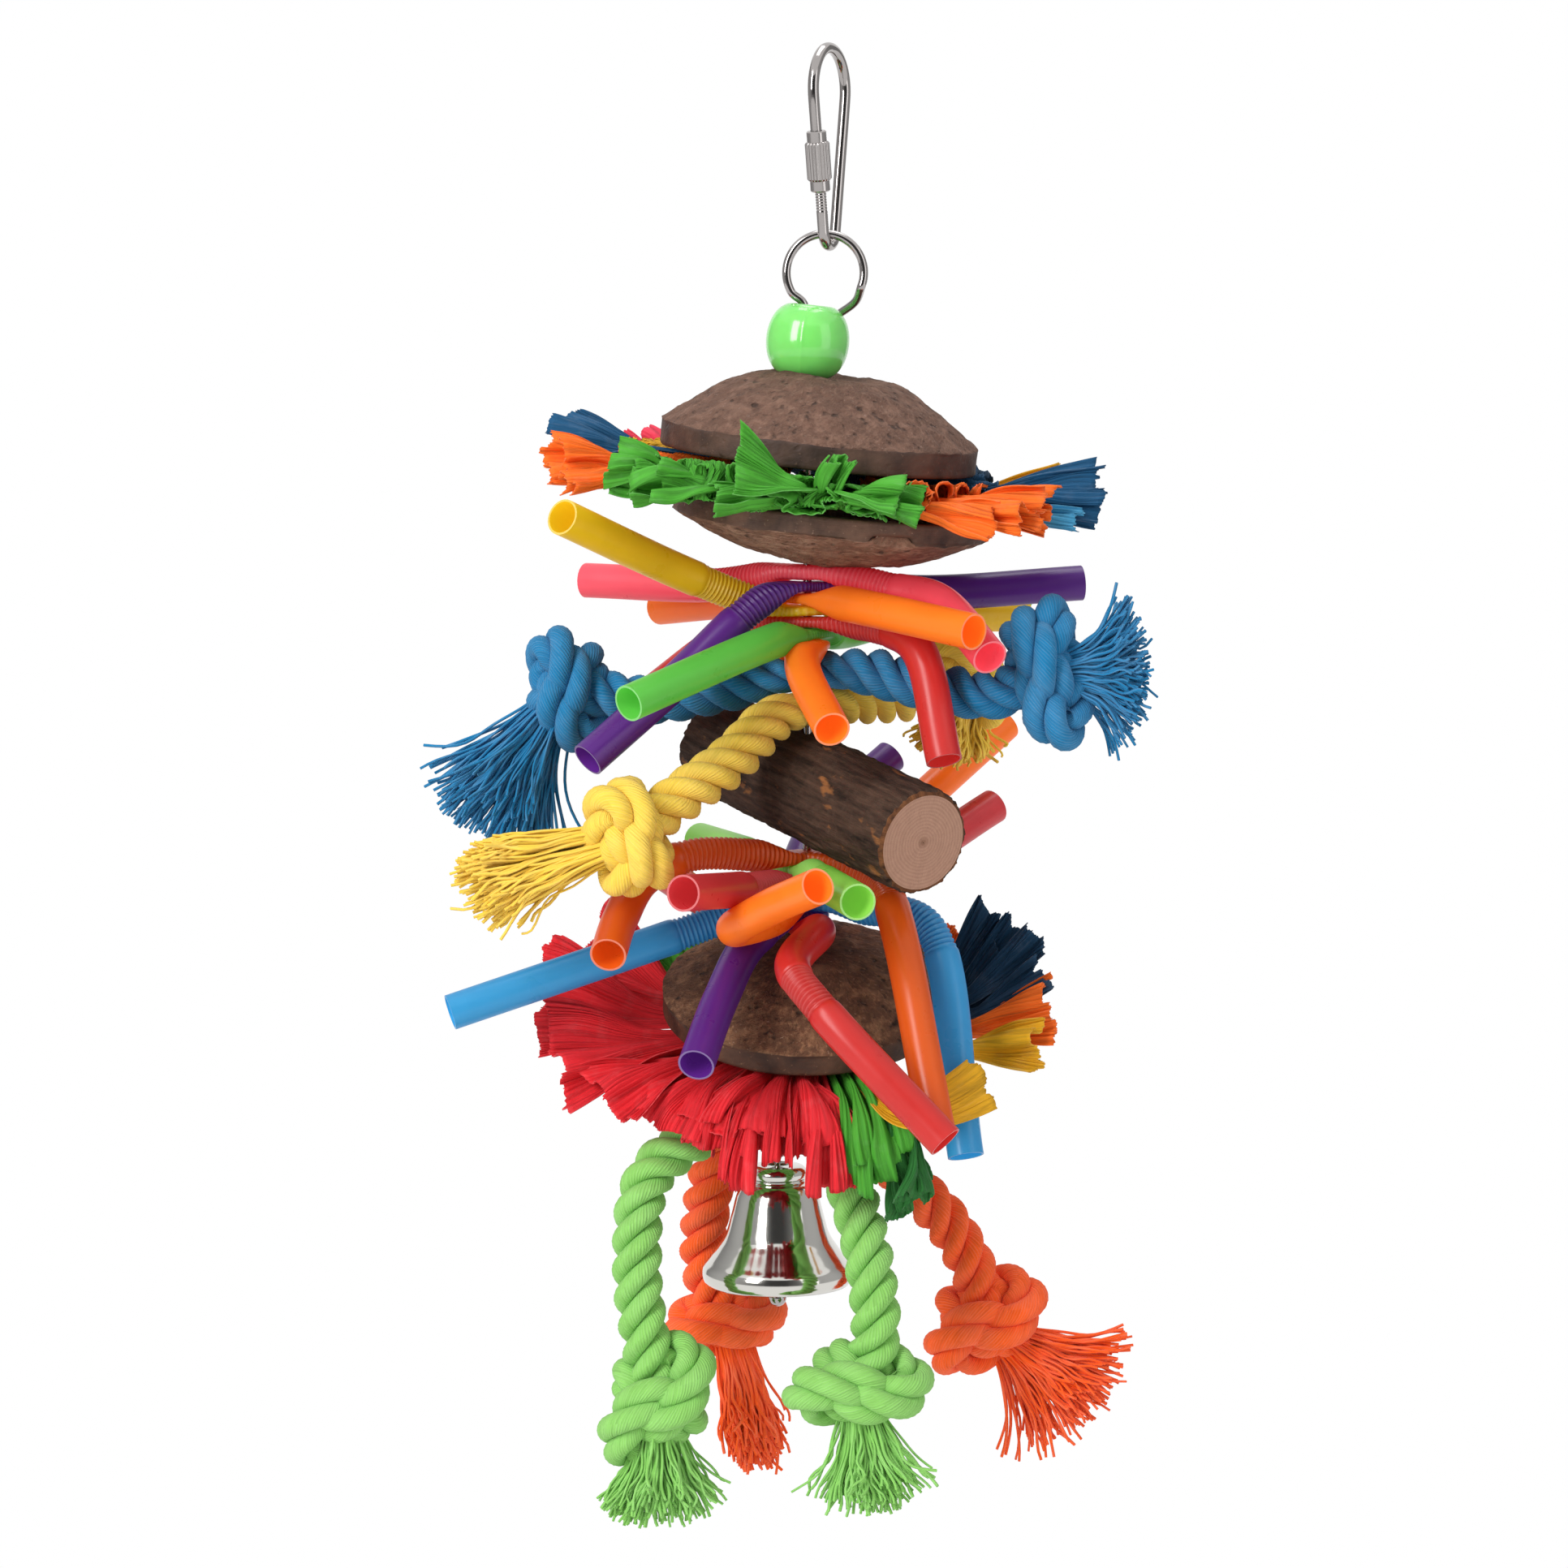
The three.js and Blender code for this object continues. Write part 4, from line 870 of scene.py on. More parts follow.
def link_sleeve():
    half = SLEEVE_LENGTH / 2
    grip = half - SLEEVE_COLLAR
    bore = LINK_WIRE / 2 + SLEEVE_PLAY
    collar = SLEEVE_COLLAR_RADIUS
    bevel = SLEEVE_BEVEL
    rows = [(-half, bore, 0), (-half, collar - bevel, 0), (-half + bevel, collar, 0)]
    rows += [(-grip - 0.1, collar, 0), (-grip, SLEEVE_GRIP - bevel, 0.4), (-grip + 0.3, SLEEVE_GRIP, 1)]
    outline = rows + [(-z, radius, ridge) for z, radius, ridge in reversed(rows)]
    middle = leg_top + leg_down * (SLEEVE_START + half)
    route = Route([middle - leg_down, middle, middle + leg_down])
    _, _, normal, side = route.at(np.array([1.0]))
    angle = full_turn(SLEEVE_RIDGES * SLEEVE_RIDGE_SIDES)
    outwards = np.cos(angle)[:, None] * side + np.sin(angle)[:, None] * normal
    groove = 0.5 - 0.5 * np.cos(SLEEVE_RIDGES * angle)
    rings = []
    for z, radius, ridge in outline:
        reach = (radius - SLEEVE_GROOVE * ridge * groove)[:, None]
        rings.append(middle - leg_down * z + reach * outwards)
    shape = Shape()
    for first, second in zip(rings, rings[1:] + rings[:1]):
        shape.grid([first, second])
    shape.piece("link_screw_sleeve", "sleeve", "link_sleeve", "nickel", nickel)


quick_link()
link_sleeve()

# Stem wire: the top eye, the long stem and the small eye at the foot

WIRE = 1.7
EYE_X = -0.8
EYE_RADIUS = 7.55
EYE_TIP_REACH = 9.3
EYE_TIP_DROP = 8.2
FOOT_EYE_RADIUS = 2.2


def stem_wire():
    spots = [(STEM_X + EYE_TIP_REACH * 0.63, EYE_TIP_REACH * 0.77, EYE_Z - EYE_TIP_DROP)]
    spots.append((EYE_X + EYE_RADIUS * 0.8, EYE_TIP_REACH * 0.3, EYE_Z - EYE_RADIUS * 0.72))
    spots.extend(wire_ring(EYE_X, EYE_Z, EYE_RADIUS, -22, 212, 30))
    spots.append((STEM_X - 0.9, 0, BEAD_TOP + 0.4))
    spots.append((STEM_X, 0, BEAD_TOP - 4.1))
    spots.extend((STEM_X, 0, z) for z in np.linspace(BEAD_TOP - 12, BEND_Z, 12))
    spots.extend((stem_at(z), 0, z) for z in np.linspace(BEND_Z, FOOT_EYE_TOP, 4)[1:])
    foot_eye_z = FOOT_EYE_TOP - FOOT_EYE_RADIUS - WIRE
    spots.extend(wire_ring(FOOT_X, foot_eye_z, FOOT_EYE_RADIUS, 130, 430, 20))
    bent_wire("stem_and_eyes", "stem", nickel, "stem_wire", spots, WIRE / 2, 16, 0.5, "nickel")


stem_wire()

# Bead

BEAD_RADIUS = 8.15
BEAD_HEIGHT = 14.1
BEAD_BORE = 2.3
BEAD_SIDES = 240
BEAD_ROLL_DEG = 6
BEAD_ROWS = 48
BEAD_FULLNESS = 0.6
SEAMS_DEG = (-98, 82)
SEAM_HALF_DEG = 1.3
SEAM_PROUD = 0.07
# The moulding seam runs over the bead's side only, not over its ends
SEAM_INNER = 5.2


def bead_plastic():
    """Glossy moulded plastic with a faint swirl."""
    gloss = {"Coat_Weight": 0.5, "Coat_Roughness": 0.05}
    finish = Finish("green_bead_plastic", Subsurface_Weight=0.12, Subsurface_Scale=0.003, **gloss)
    swirl = finish.grain(finish.place(), 160.0, 2.0)
    shade = colour(122, 222, 104)
    finish.feed("Base Color", finish.blend(swirl.between(0.3, 0.7), darker(shade, 0.86), shade))
    finish.feed("Roughness", finish.grain(finish.place(), 500.0).between(0.3, 0.8) * 0.1 + 0.14)
    return finish


def bead():
    half = BEAD_HEIGHT / 2
    angles = np.radians(np.linspace(-70, 70, BEAD_ROWS))
    outline = [(BEAD_BORE, half - 3), (BEAD_BORE, half - 0.8), (BEAD_BORE + 0.4, half - 0.15)]
    outline += [(BEAD_BORE + 1.0, half), (4.0, half)]
    tall = half / math.sin(angles[-1])
    sides = [(BEAD_RADIUS * math.cos(a) ** BEAD_FULLNESS, tall * math.sin(a)) for a in angles]
    outline = outline + sides[::-1][1:-1] + [(r, -z) for r, z in outline[::-1]]
    turn = full_turn(BEAD_SIDES)
    apart = [np.abs((np.degrees(turn) - seam + 180) % 360 - 180) for seam in SEAMS_DEG]
    seam = sum(np.exp(-((gap / SEAM_HALF_DEG) ** 2)) for gap in apart)
    radius, z = np.array(outline).T[..., None]
    reach = radius + SEAM_PROUD * seam * (radius > SEAM_INNER)
    rings = turned(reach, z, turn) @ tilt(0, BEAD_ROLL_DEG).T + (STEM_X, 0, BEAD_TOP - half)
    shape = Shape()
    shape.grid(rings, flip=True)
    shape.piece("green_bead", "bead", "top_bead", "bead_plastic", bead_plastic())


bead()

# Coconut caps

CAP_RADIUS = 31.2
LOWER_CAP_RADIUS = 28.8
CAP_WALL = 4.2
UPPER_DOME = 10.6
UPPER_BAND = 5.0
UNDER_DOME = 8.2
UNDER_BAND = 4.0
LOWER_DOME = 8.6
LOWER_BAND = 4.4
CAP_SHIFT = 3.6
CAP_ROLL_DEG = 6
CAP_PITCH_DEG = 3
LOWER_PITCH_DEG = 20
CAP_SIDES = 220
DOME_ROWS = 56
BAND_ROWS = 9
EDGE_ROWS = 6
HOLLOW_ROWS = 14
# How rough the husk and the saw cut are: the height and the size of their lumps, coarse and fine
HUSK_LUMPS = ((0.5, 10.0), (0.26, 2.4))
SAWN_LUMPS = ((0.3, 12.0), (0.05, 2.0))
HUSK_INSET = 0.15
CHIP_DEPTH = 2.4
CHIP_HALF_TALL = 0.9
DOME_FULLNESS = 2.5
DOME_LIP = 1.5
CHIP_HALF_DEG = 7.0
# The dark, the middle and the pale of each husk, and how fine its fibres are round the dome and out along it
HUSKS = {
    "upper": ((54, 37, 30), (116, 84, 69), (150, 116, 98), 110.0, 0.55),
    "under": ((58, 38, 29), (134, 96, 76), (196, 158, 132), 30.0, 1.5),
    "lower": ((44, 28, 20), (112, 76, 54), (186, 138, 100), 130.0, 0.55),
}

pair_tilt = tilt(CAP_PITCH_DEG, CAP_ROLL_DEG)
lower_tilt = tilt(LOWER_PITCH_DEG, 0)


def coconut_shell(name, dark, brown, pale, around, outwards):
    """Rough brown husk: tangled fibres on the dome (zone 0), a smoother dark saw cut on the edge (zone 1)."""
    dark, brown, pale = (colour(*shade) for shade in (dark, brown, pale))
    finish = Finish(f"{name}_coconut_husk", Specular_IOR_Level=0.35)
    spot = finish.place()
    turn, length = finish.turn_and_length()
    fibre = finish.grain(finish.joined(turn * around, length * outwards), 1.0, 5.0, 0.65)
    cross = finish.grain(finish.joined(turn * 130.0 + length * 0.5, length * 0.7, 7.0), 1.0, 4.0, 0.65)
    tangle = finish.grain(spot, 520.0, 6.0, 0.65)
    patch = finish.grain(spot, 75.0, 4.0)
    scrape = finish.grain(spot, 240.0, 3.0)
    pit = 1 - finish.grain(spot, 520.0, 1.0).between(0.23, 0.35)
    fleck = finish.grain(spot, 1300.0, 2.0)
    cut = finish.zone() > 0.5
    husk = finish.blend(tangle.between(0.34, 0.6), darker(brown, 0.55), brown)
    husk = finish.blend(fibre.between(0.5, 0.7) * 0.6, husk, pale)
    husk = finish.blend(cross.between(0.56, 0.7) * 0.75, husk, dark)
    husk = finish.blend(patch.between(0.42, 0.7) * 0.4, husk, darker(brown, 0.6))
    husk = finish.blend(scrape.between(0.5, 0.62) * 0.5, husk, darker(brown, 0.62))
    husk = finish.blend((1 - scrape.between(0.34, 0.48)) * 0.28, husk, pale)
    husk = finish.blend(pit * 0.7, husk, darker(dark, 0.8))
    husk = finish.blend(fleck.between(0.66, 0.74) * 0.3, husk, paler(pale, 0.15))
    saw = finish.blend(finish.grain(spot, 190.0, 6.0).between(0.3, 0.7), dark, darker(brown, 0.6))
    saw = finish.blend(fleck.between(0.66, 0.76) * 0.3, saw, pale)
    finish.feed("Base Color", finish.blend(cut, husk, saw))
    finish.feed("Roughness", 0.86 - cut * 0.26)
    finish.bump((fibre * 0.8 - cross + tangle * 0.6 - pit * 0.8) * (1 - cut * 0.8), 0.0008, 0.9)
    return finish


husk_finish = {name: coconut_shell(name, *husk) for name, husk in HUSKS.items()}


def coconut_cap(name, node, body, radius, dome, band, spot, turn, seed, chip_deg=None):
    """A domed shell with a sawn edge, its top at spot; chip_deg is where the edge is broken."""
    outer = (radius**2 + dome**2) / (2 * dome)
    full = DOME_FULLNESS if name == "upper_shell" else 2
    shares = np.linspace(0.005, 1, DOME_ROWS)
    lip = DOME_LIP * ease(shares, 0.13, 0.3) * (1 - ease(shares, 0.4, 1)) * (name == "upper_shell")
    outline = [(radius * share, rise - dome * share**full, 0) for share, rise in zip(shares, lip)]
    outline += [(radius + 0.05, -dome - share * band, 1) for share in np.linspace(0.06, 0.94, BAND_ROWS)]
    outline += [(radius - share * CAP_WALL, -dome - band, 1) for share in np.linspace(0.06, 0.94, EDGE_ROWS)]
    inner = outer - CAP_WALL
    hollow = np.linspace(math.asin((radius - CAP_WALL) / inner), 0.004, HOLLOW_ROWS)
    outline += [(inner * math.sin(a), inner * math.cos(a) - outer, 0) for a in hollow]
    angle = full_turn(CAP_SIDES)
    rows = np.array(outline)
    rings = turned(rows[:, 0, None], rows[:, 1, None], angle)
    outwards = rings - np.array([0, 0, -outer])
    outwards = unit(np.where(rows[:, 2, None, None] > 0.5, rings * (1, 1, 0), outwards))
    shifted = rings + seed * 70.0
    (coarse, wide), (fine, narrow) = HUSK_LUMPS
    rough = coarse * bumps(shifted, wide) + fine * bumps(shifted, narrow, 2)
    (coarse, wide), (fine, narrow) = SAWN_LUMPS
    sawn = coarse * bumps(shifted, wide) + fine * bumps(shifted, narrow, 2)
    lump = np.where(rows[:, 2, None] > 0.5, sawn, rough) - HUSK_INSET
    if chip_deg is not None:
        apart = (np.degrees(angle) - chip_deg + 180) % 360 - 180 + 3 * bumps(shifted, 3.0, 2)
        above = rows[:, 1, None] + dome + 0.4
        gouge = np.exp(-((apart / CHIP_HALF_DEG) ** 4) - (above / CHIP_HALF_TALL) ** 4) * (above < 2)
        lump = lump - CHIP_DEPTH * gouge * (rows[:, 0, None] > radius * 0.8)
    rings = rings + outwards * lump[..., None]
    rings = (rings + np.array([CAP_SHIFT if body == "shell_pair" else 0, 0, 0])) @ turn.T + spot
    lengths = np.concatenate([[0], np.cumsum(np.linalg.norm(np.diff(rows[:, :2], axis=0), axis=1))])
    shape = Shape()
    shape.grid(rings, lengths=lengths, zone=np.maximum(rows[1:, 2], rows[:-1, 2]), flip=True)
    shape.piece(name, body, node, "coconut", husk_finish[name.split("_")[0]])


overturn = tilt(180, 0)
upper_spot = np.array([STEM_X, 0, UPPER_CAP_TOP])
under_spot = np.array([STEM_X, 0, UNDER_FOOT])
lower_spot = np.array([STEM_X, 0, LOWER_CAP_TOP])
coconut_cap(
    "upper_shell", "upper_cap", "shell_pair", CAP_RADIUS, UPPER_DOME, UPPER_BAND, upper_spot,
    pair_tilt, 1,
)
coconut_cap(
    "under_shell", "under_cap", "shell_pair", CAP_RADIUS, UNDER_DOME, UNDER_BAND, under_spot,
    pair_tilt @ overturn, 2, 68,
)
coconut_cap(
    "lower_shell_cap", "lower_cap", "lower_shell", LOWER_CAP_RADIUS, LOWER_DOME, LOWER_BAND, lower_spot,
    lower_tilt, 3,
)

# Crinkled paper

PAPER_COLOURS = {
    "blue": colour(14, 78, 118),
    "orange": colour(250, 112, 26),
    "green": colour(74, 162, 46),
    "yellow": colour(232, 172, 24),
    "red": colour(226, 36, 46),
    "navy": colour(18, 60, 90),
    "pink": colour(236, 62, 88),
    "sky": colour(70, 160, 205),
    "leaf": colour(38, 112, 44),
}
PAPER_SHEET = 0.22
PAPER_ROWS = 34
PAPER_CREASE = 1.15
PLEAT_COLUMNS = 6
FILLER_COLUMNS = 3
PAPER_PLEAT = 0.3
PAPER_PINCH = 0.5
# How much room the papers take below the lower cap, and how softly a strip turns aside
PAPER_GAP = 8.6
PAPER_CORNER = 3.5
# How many points the line of a strip has, and how much longer it is than the strip
LINE_STEPS = 200
LINE_SPARE = 3
# How near to the stem the papers begin, and how far the lower ones are clamped past the rim
UPPER_PAPER_INNER = 15.0
LOWER_PAPER_INNER = 17.0
LOWER_CLAMP = 1.5
UPPER_PAPER_SEED = 40
LOWER_PAPER_SEED = 60


def crinkled_paper(name, shade):
    """Dyed paper with fine creases along the strip: painted shade in them, painted highlights on the ridges.
    """
    finish = Finish(f"{name}_crinkled_paper", Roughness=0.72, Specular_IOR_Level=0.3)
    turn, length = finish.turn_and_length()
    streak = finish.grain(finish.joined(turn * 1.7, length * 0.05), 1.0, 4.0, 0.65)
    fleck = finish.grain(finish.place(), 260.0, 3.0)
    # Darker in the low streaks, the creases: painted shade
    mixed = finish.blend(streak.between(0.28, 0.56), darker(shade, 0.5), shade)
    # Paler on the high streaks, the ridges: painted highlights
    mixed = finish.blend(streak.between(0.6, 0.85) * 0.5, mixed, paler(shade, 0.2))
    mixed = finish.blend(fleck.between(0.55, 0.8) * 0.2, mixed, paler(shade, 0.15))
    finish.feed("Base Color", mixed)
    finish.bump(streak, 0.0006, 0.8)
    return finish


def torn_edge(name, shade):
    """The cut edge, in the paper's colour, a little darker and paler at random."""
    finish = Finish(f"{name}_paper_edge", Roughness=0.85)
    edge_grain = finish.grain(finish.place(), 900.0, 3.0)
    finish.feed("Base Color", finish.blend(edge_grain.between(0.3, 0.7), darker(shade, 0.8), paler(shade, 0.06)))
    return finish


paper_finish = {name: crinkled_paper(name, shade) for name, shade in PAPER_COLOURS.items()}
edge_finish = {name: torn_edge(name, shade) for name, shade in PAPER_COLOURS.items()}


def strip(first, last, free, height, folds, **others):
    """A strip's directions in degrees, its free length and its folds, with what else it does."""
    # In degrees: rise and bend tilt it, veer and swing turn it sideways, twist rolls it and tip leans it over
    # In millimetres: base lifts it, and aside is the reach at which it turns along the rim
    # As shares or counts: curl folds it over, crumple dents it, skew slants its folds, pinch narrows its root
    usual = {"curl": 0.06, "base": 0.0, "rise": 0.0, "bend": 0.0, "veer": 0.0, "twist": 0.0}
    usual.update(swing=0.0, crumple=1.0, skew=0.0, pinch=PAPER_PINCH, tip=0.0, aside=None, shade=None)
    return {"first": first, "last": last, "free": free, "height": height, "folds": folds, **usual, **others}


def filler(first, last, free, folds, **others):
    """A short, tightly folded strip that fills the gap between the caps."""
    return strip(first, last, free, 8, folds, base=0.3, skew=3, **others)


def torn_end(u, draw):
    """How far each part of a strip's end is torn back: slow waves, steps of a few pleats and loose fibres."""
    waves = 0.7 * np.sin(TAU * draw.uniform(1, 2) * u + draw.uniform(0, TAU))
    edges = np.sort(draw.uniform(0, 1, 7))
    steps = draw.uniform(-0.9, 0.7, 8)[np.searchsorted(edges, u)]
    return waves + steps + draw.normal(0, 0.12, len(u))


def strip_line(fan, sheet, s, hidden):
    """The line that a strip follows out from the stem at each s: its reach, its climb and its lean."""
    along = np.linspace(0, hidden + sheet["free"] + LINE_SPARE, LINE_STEPS)
    share = (along - hidden) / sheet["free"]
    heading = math.radians(sheet["rise"]) * ease(share, -0.2, 0.3)
    heading = heading - math.radians(sheet["bend"]) * np.maximum(0, share)
    reach = np.interp(s, along, fan["inner"] + np.cumsum(np.cos(heading)) * along[1])
    climb = np.interp(s, along, np.cumsum(np.sin(heading)) * along[1])
    return reach, climb, np.interp(s, along, heading)


def paper_strip(shape, fan, sheet, coat, draw):
    """One strip that leaves the caps pinched flat, opens into folds and pleats, and twists as it goes."""
    span = math.radians(sheet["last"] - sheet["first"])
    middle = math.radians((sheet["first"] + sheet["last"]) / 2)
    free = sheet["free"]
    folds = sheet["folds"]
    hidden = fan["rim"] - fan["inner"]
    whole = hidden + free
    width = span * (fan["rim"] + free)
    teeth = round((width + 2 * sheet["height"] * folds) / PAPER_CREASE)
    columns = int(teeth * (FILLER_COLUMNS if sheet["skew"] else PLEAT_COLUMNS))
    u = np.linspace(0, 1, columns)
    v = np.linspace(0, 1, PAPER_ROWS)[:, None]
    phases = draw.uniform(0, TAU, 8)
    s = v * whole + torn_end(u, draw) * v**4
    past = (s - hidden) / free
    beyond = past.clip(0)
    opened = ease(s, hidden - 6, whole)
    reach, climb, lean = strip_line(fan, sheet, s, hidden)

    # Its folds and pleats, as places across it and proud of it, and its twist
    warp = u + 0.05 * np.sin(TAU * 1.3 * u + phases[2]) + 0.03 * np.sin(TAU * 2.9 * u + phases[3])
    turn = TAU * folds * warp + phases[4] + 0.8 * beyond * np.sin(TAU * u + phases[6])
    turn = turn + TAU * sheet["skew"] * v
    narrow = sheet["pinch"] + (1 - sheet["pinch"]) * opened
    over = (warp - 0.5) * narrow + sheet["curl"] * np.sin(2 * turn) * opened
    pleat = np.abs((u * teeth) % 1 - 0.5) * 4 - 1
    depth = PAPER_PLEAT * (0.75 + 0.25 * np.sin(TAU * 2.3 * u + phases[5]))
    tall = sheet["height"] * (0.62 + 0.38 * opened) * (0.8 + 0.2 * np.sin(TAU * 0.7 * u + phases[1]))
    crumple = 0.7 * beyond * np.sin(TAU * (0.9 * v + 1.3 * u) + phases[0])
    crumple = crumple + 0.4 * beyond * np.sin(TAU * (2.1 * v - 2.7 * u) + phases[7])
    proud = tall / 2 * np.cos(turn) + depth * pleat * (0.4 + 0.6 * opened) + crumple * sheet["crumple"]
    across = reach * span * over
    twist = math.radians(sheet["twist"]) * ease(past, -0.1, 0.75)
    across, proud = spun(across, proud, twist)
    proud = proud + sheet["base"]

    # Where that puts it round the stem
    lean = lean * np.cos(twist) + math.radians(sheet["tip"]) * ease(past, 0, 0.5)
    out = reach - np.sin(lean) * proud
    z = fan["z"] + climb + np.cos(lean) * proud
    swing = math.radians(sheet["swing"]) * ease(past, 0, 0.35)
    clear, across = spun(out - fan["rim"], across, swing)
    out = fan["rim"] + clear
    angle = middle + across / np.maximum(reach, fan["inner"]) + math.radians(sheet["veer"]) * beyond**2
    if sheet["aside"]:
        # The strip turns aside at this reach and follows a circle from there on
        gone_round = PAPER_CORNER * np.logaddexp(0, (reach - sheet["aside"]) / PAPER_CORNER)
        out = out - gone_round
        angle = angle + gone_round / sheet["aside"]
    spots = turned(out, z, angle) @ fan["turn"].T + fan["spot"]
    shape.grid(spots, wrap=False, lengths=v[:, 0] * whole, turns=u * teeth, coat=coat)


upper_edge = upper_spot + pair_tilt @ (0, 0, -UPPER_DOME - UPPER_BAND)
under_edge = under_spot + pair_tilt @ (0, 0, UNDER_DOME + UNDER_BAND)
upper_fan = {
    "inner": UPPER_PAPER_INNER, "rim": CAP_RADIUS + CAP_SHIFT, "z": 0.0, "turn": pair_tilt,
    "spot": (upper_edge + under_edge) / 2,
}
lower_fan = {
    "inner": LOWER_PAPER_INNER, "rim": LOWER_CAP_RADIUS + LOWER_CLAMP, "turn": lower_tilt, "spot": lower_spot,
    "z": -LOWER_DOME - LOWER_BAND - FIT - (PAPER_GAP - 1) / 2,
}

UPPER_PAPERS = {
    "blue_left": [
        strip(156, 170, 16, 4, 1.4, base=1.4, rise=13, bend=4, twist=-40, pinch=0.75),
        strip(166, 182, 16, 4, 1.4, base=0.6, rise=9, bend=4, twist=-50, pinch=0.75),
    ],
    "orange_left": [
        strip(184, 199, 17, 4, 1.4, base=-0.8, rise=4, bend=6, twist=-45, pinch=0.75),
        strip(196, 210, 15, 5, 1.6, curl=0.1, base=-1.2, bend=6, twist=-45, swing=-12, pinch=0.75),
        strip(190, 206, 14, 5, 1.6, curl=0.1, base=-2, rise=-2, bend=6, twist=-20, swing=-10, pinch=0.75),
        filler(176, 216, 1.5, 3.5),
    ],
    "green_left": [
        strip(218, 229, 13, 4, 1.5, curl=0.2, base=0.2, rise=5, bend=8, twist=-60, swing=-38,
              crumple=2, pinch=0.7),
        strip(226, 238, 13, 4, 1.7, curl=0.2, base=-0.6, rise=2, bend=10, twist=-35, swing=-42,
              crumple=2.4, pinch=0.7),
        strip(234, 245, 12, 4, 1.6, curl=0.12, base=-0.8, rise=3, bend=8, twist=-55, swing=-50,
              crumple=2, pinch=0.7),
        filler(214, 250, 1.5, 3.5),
    ],
    "green_front": [
        strip(263, 277, 20, 2, 1.4, curl=0.02, base=0.8, rise=16, bend=2, twist=-80, swing=-64, pinch=0.3),
        strip(250, 262, 11, 4, 1.8, base=-1.4, rise=2, bend=10, twist=-40, swing=-55, pinch=0.8),
        strip(271, 281, 7.5, 5, 1.2, curl=0.16, base=1.5, rise=60, bend=-10, veer=3),
        strip(277, 288, 12, 4, 1.5, curl=0.12, base=0.2, rise=8, bend=6, twist=50, swing=55, pinch=0.8),
        strip(285, 296, 11, 4, 1.6, curl=0.1, base=-0.6, rise=5, bend=8, twist=45, swing=50, pinch=0.8),
        strip(250, 304, 3, 5, 3, base=-1.5, rise=-8, bend=20),
        filler(248, 306, 1.5, 5),
    ],
    "orange_right": [
        strip(302, 314, 16, 4.5, 1.6, curl=0.1, base=-1, rise=3, bend=6, twist=35, swing=32, pinch=0.8),
        strip(311, 323, 17, 4.5, 1.6, curl=0.08, base=-0.4, rise=6, bend=5, twist=42, swing=22, pinch=0.8),
        strip(321, 331, 17, 4.5, 1.4, curl=0.08, base=0.4, rise=6, bend=5, twist=48, swing=12, pinch=0.8),
        strip(329, 340, 16, 4.5, 1.5, curl=0.1, base=-0.4, rise=5, bend=4, twist=48, swing=6, pinch=0.8),
        filler(300, 344, 1.5, 3.5),
    ],
    "blue_right": [
        strip(345, 358, 23, 4, 1.4, base=0.8, rise=12, bend=3, twist=45, pinch=0.75),
        strip(353, 367, 22, 4, 1.4, rise=10, bend=3, twist=50, pinch=0.75),
        strip(339, 347, 20, 3, 1, base=-1.5, rise=5, bend=3, twist=40, pinch=0.8, shade="sky"),
        strip(366, 377, 17, 4, 1.2, rise=12, twist=40, pinch=0.75, shade="yellow"),
        filler(344, 380, 1.5, 3.5),
    ],
    "yellow_back": [
        strip(96, 114, 10, 6, 2, rise=5),
        strip(114, 134, 9, 6, 2, rise=8),
        # This filler is navy to stand in for the shade in the gap at the back: painted shade
        filler(18, 100, 2.5, 8, shade="navy"),
        filler(96, 180, 1.5, 8),
        strip(136, 152, 9, 4, 1.6, base=0.5, rise=11, twist=-30, pinch=0.75, shade="pink"),
    ],
}
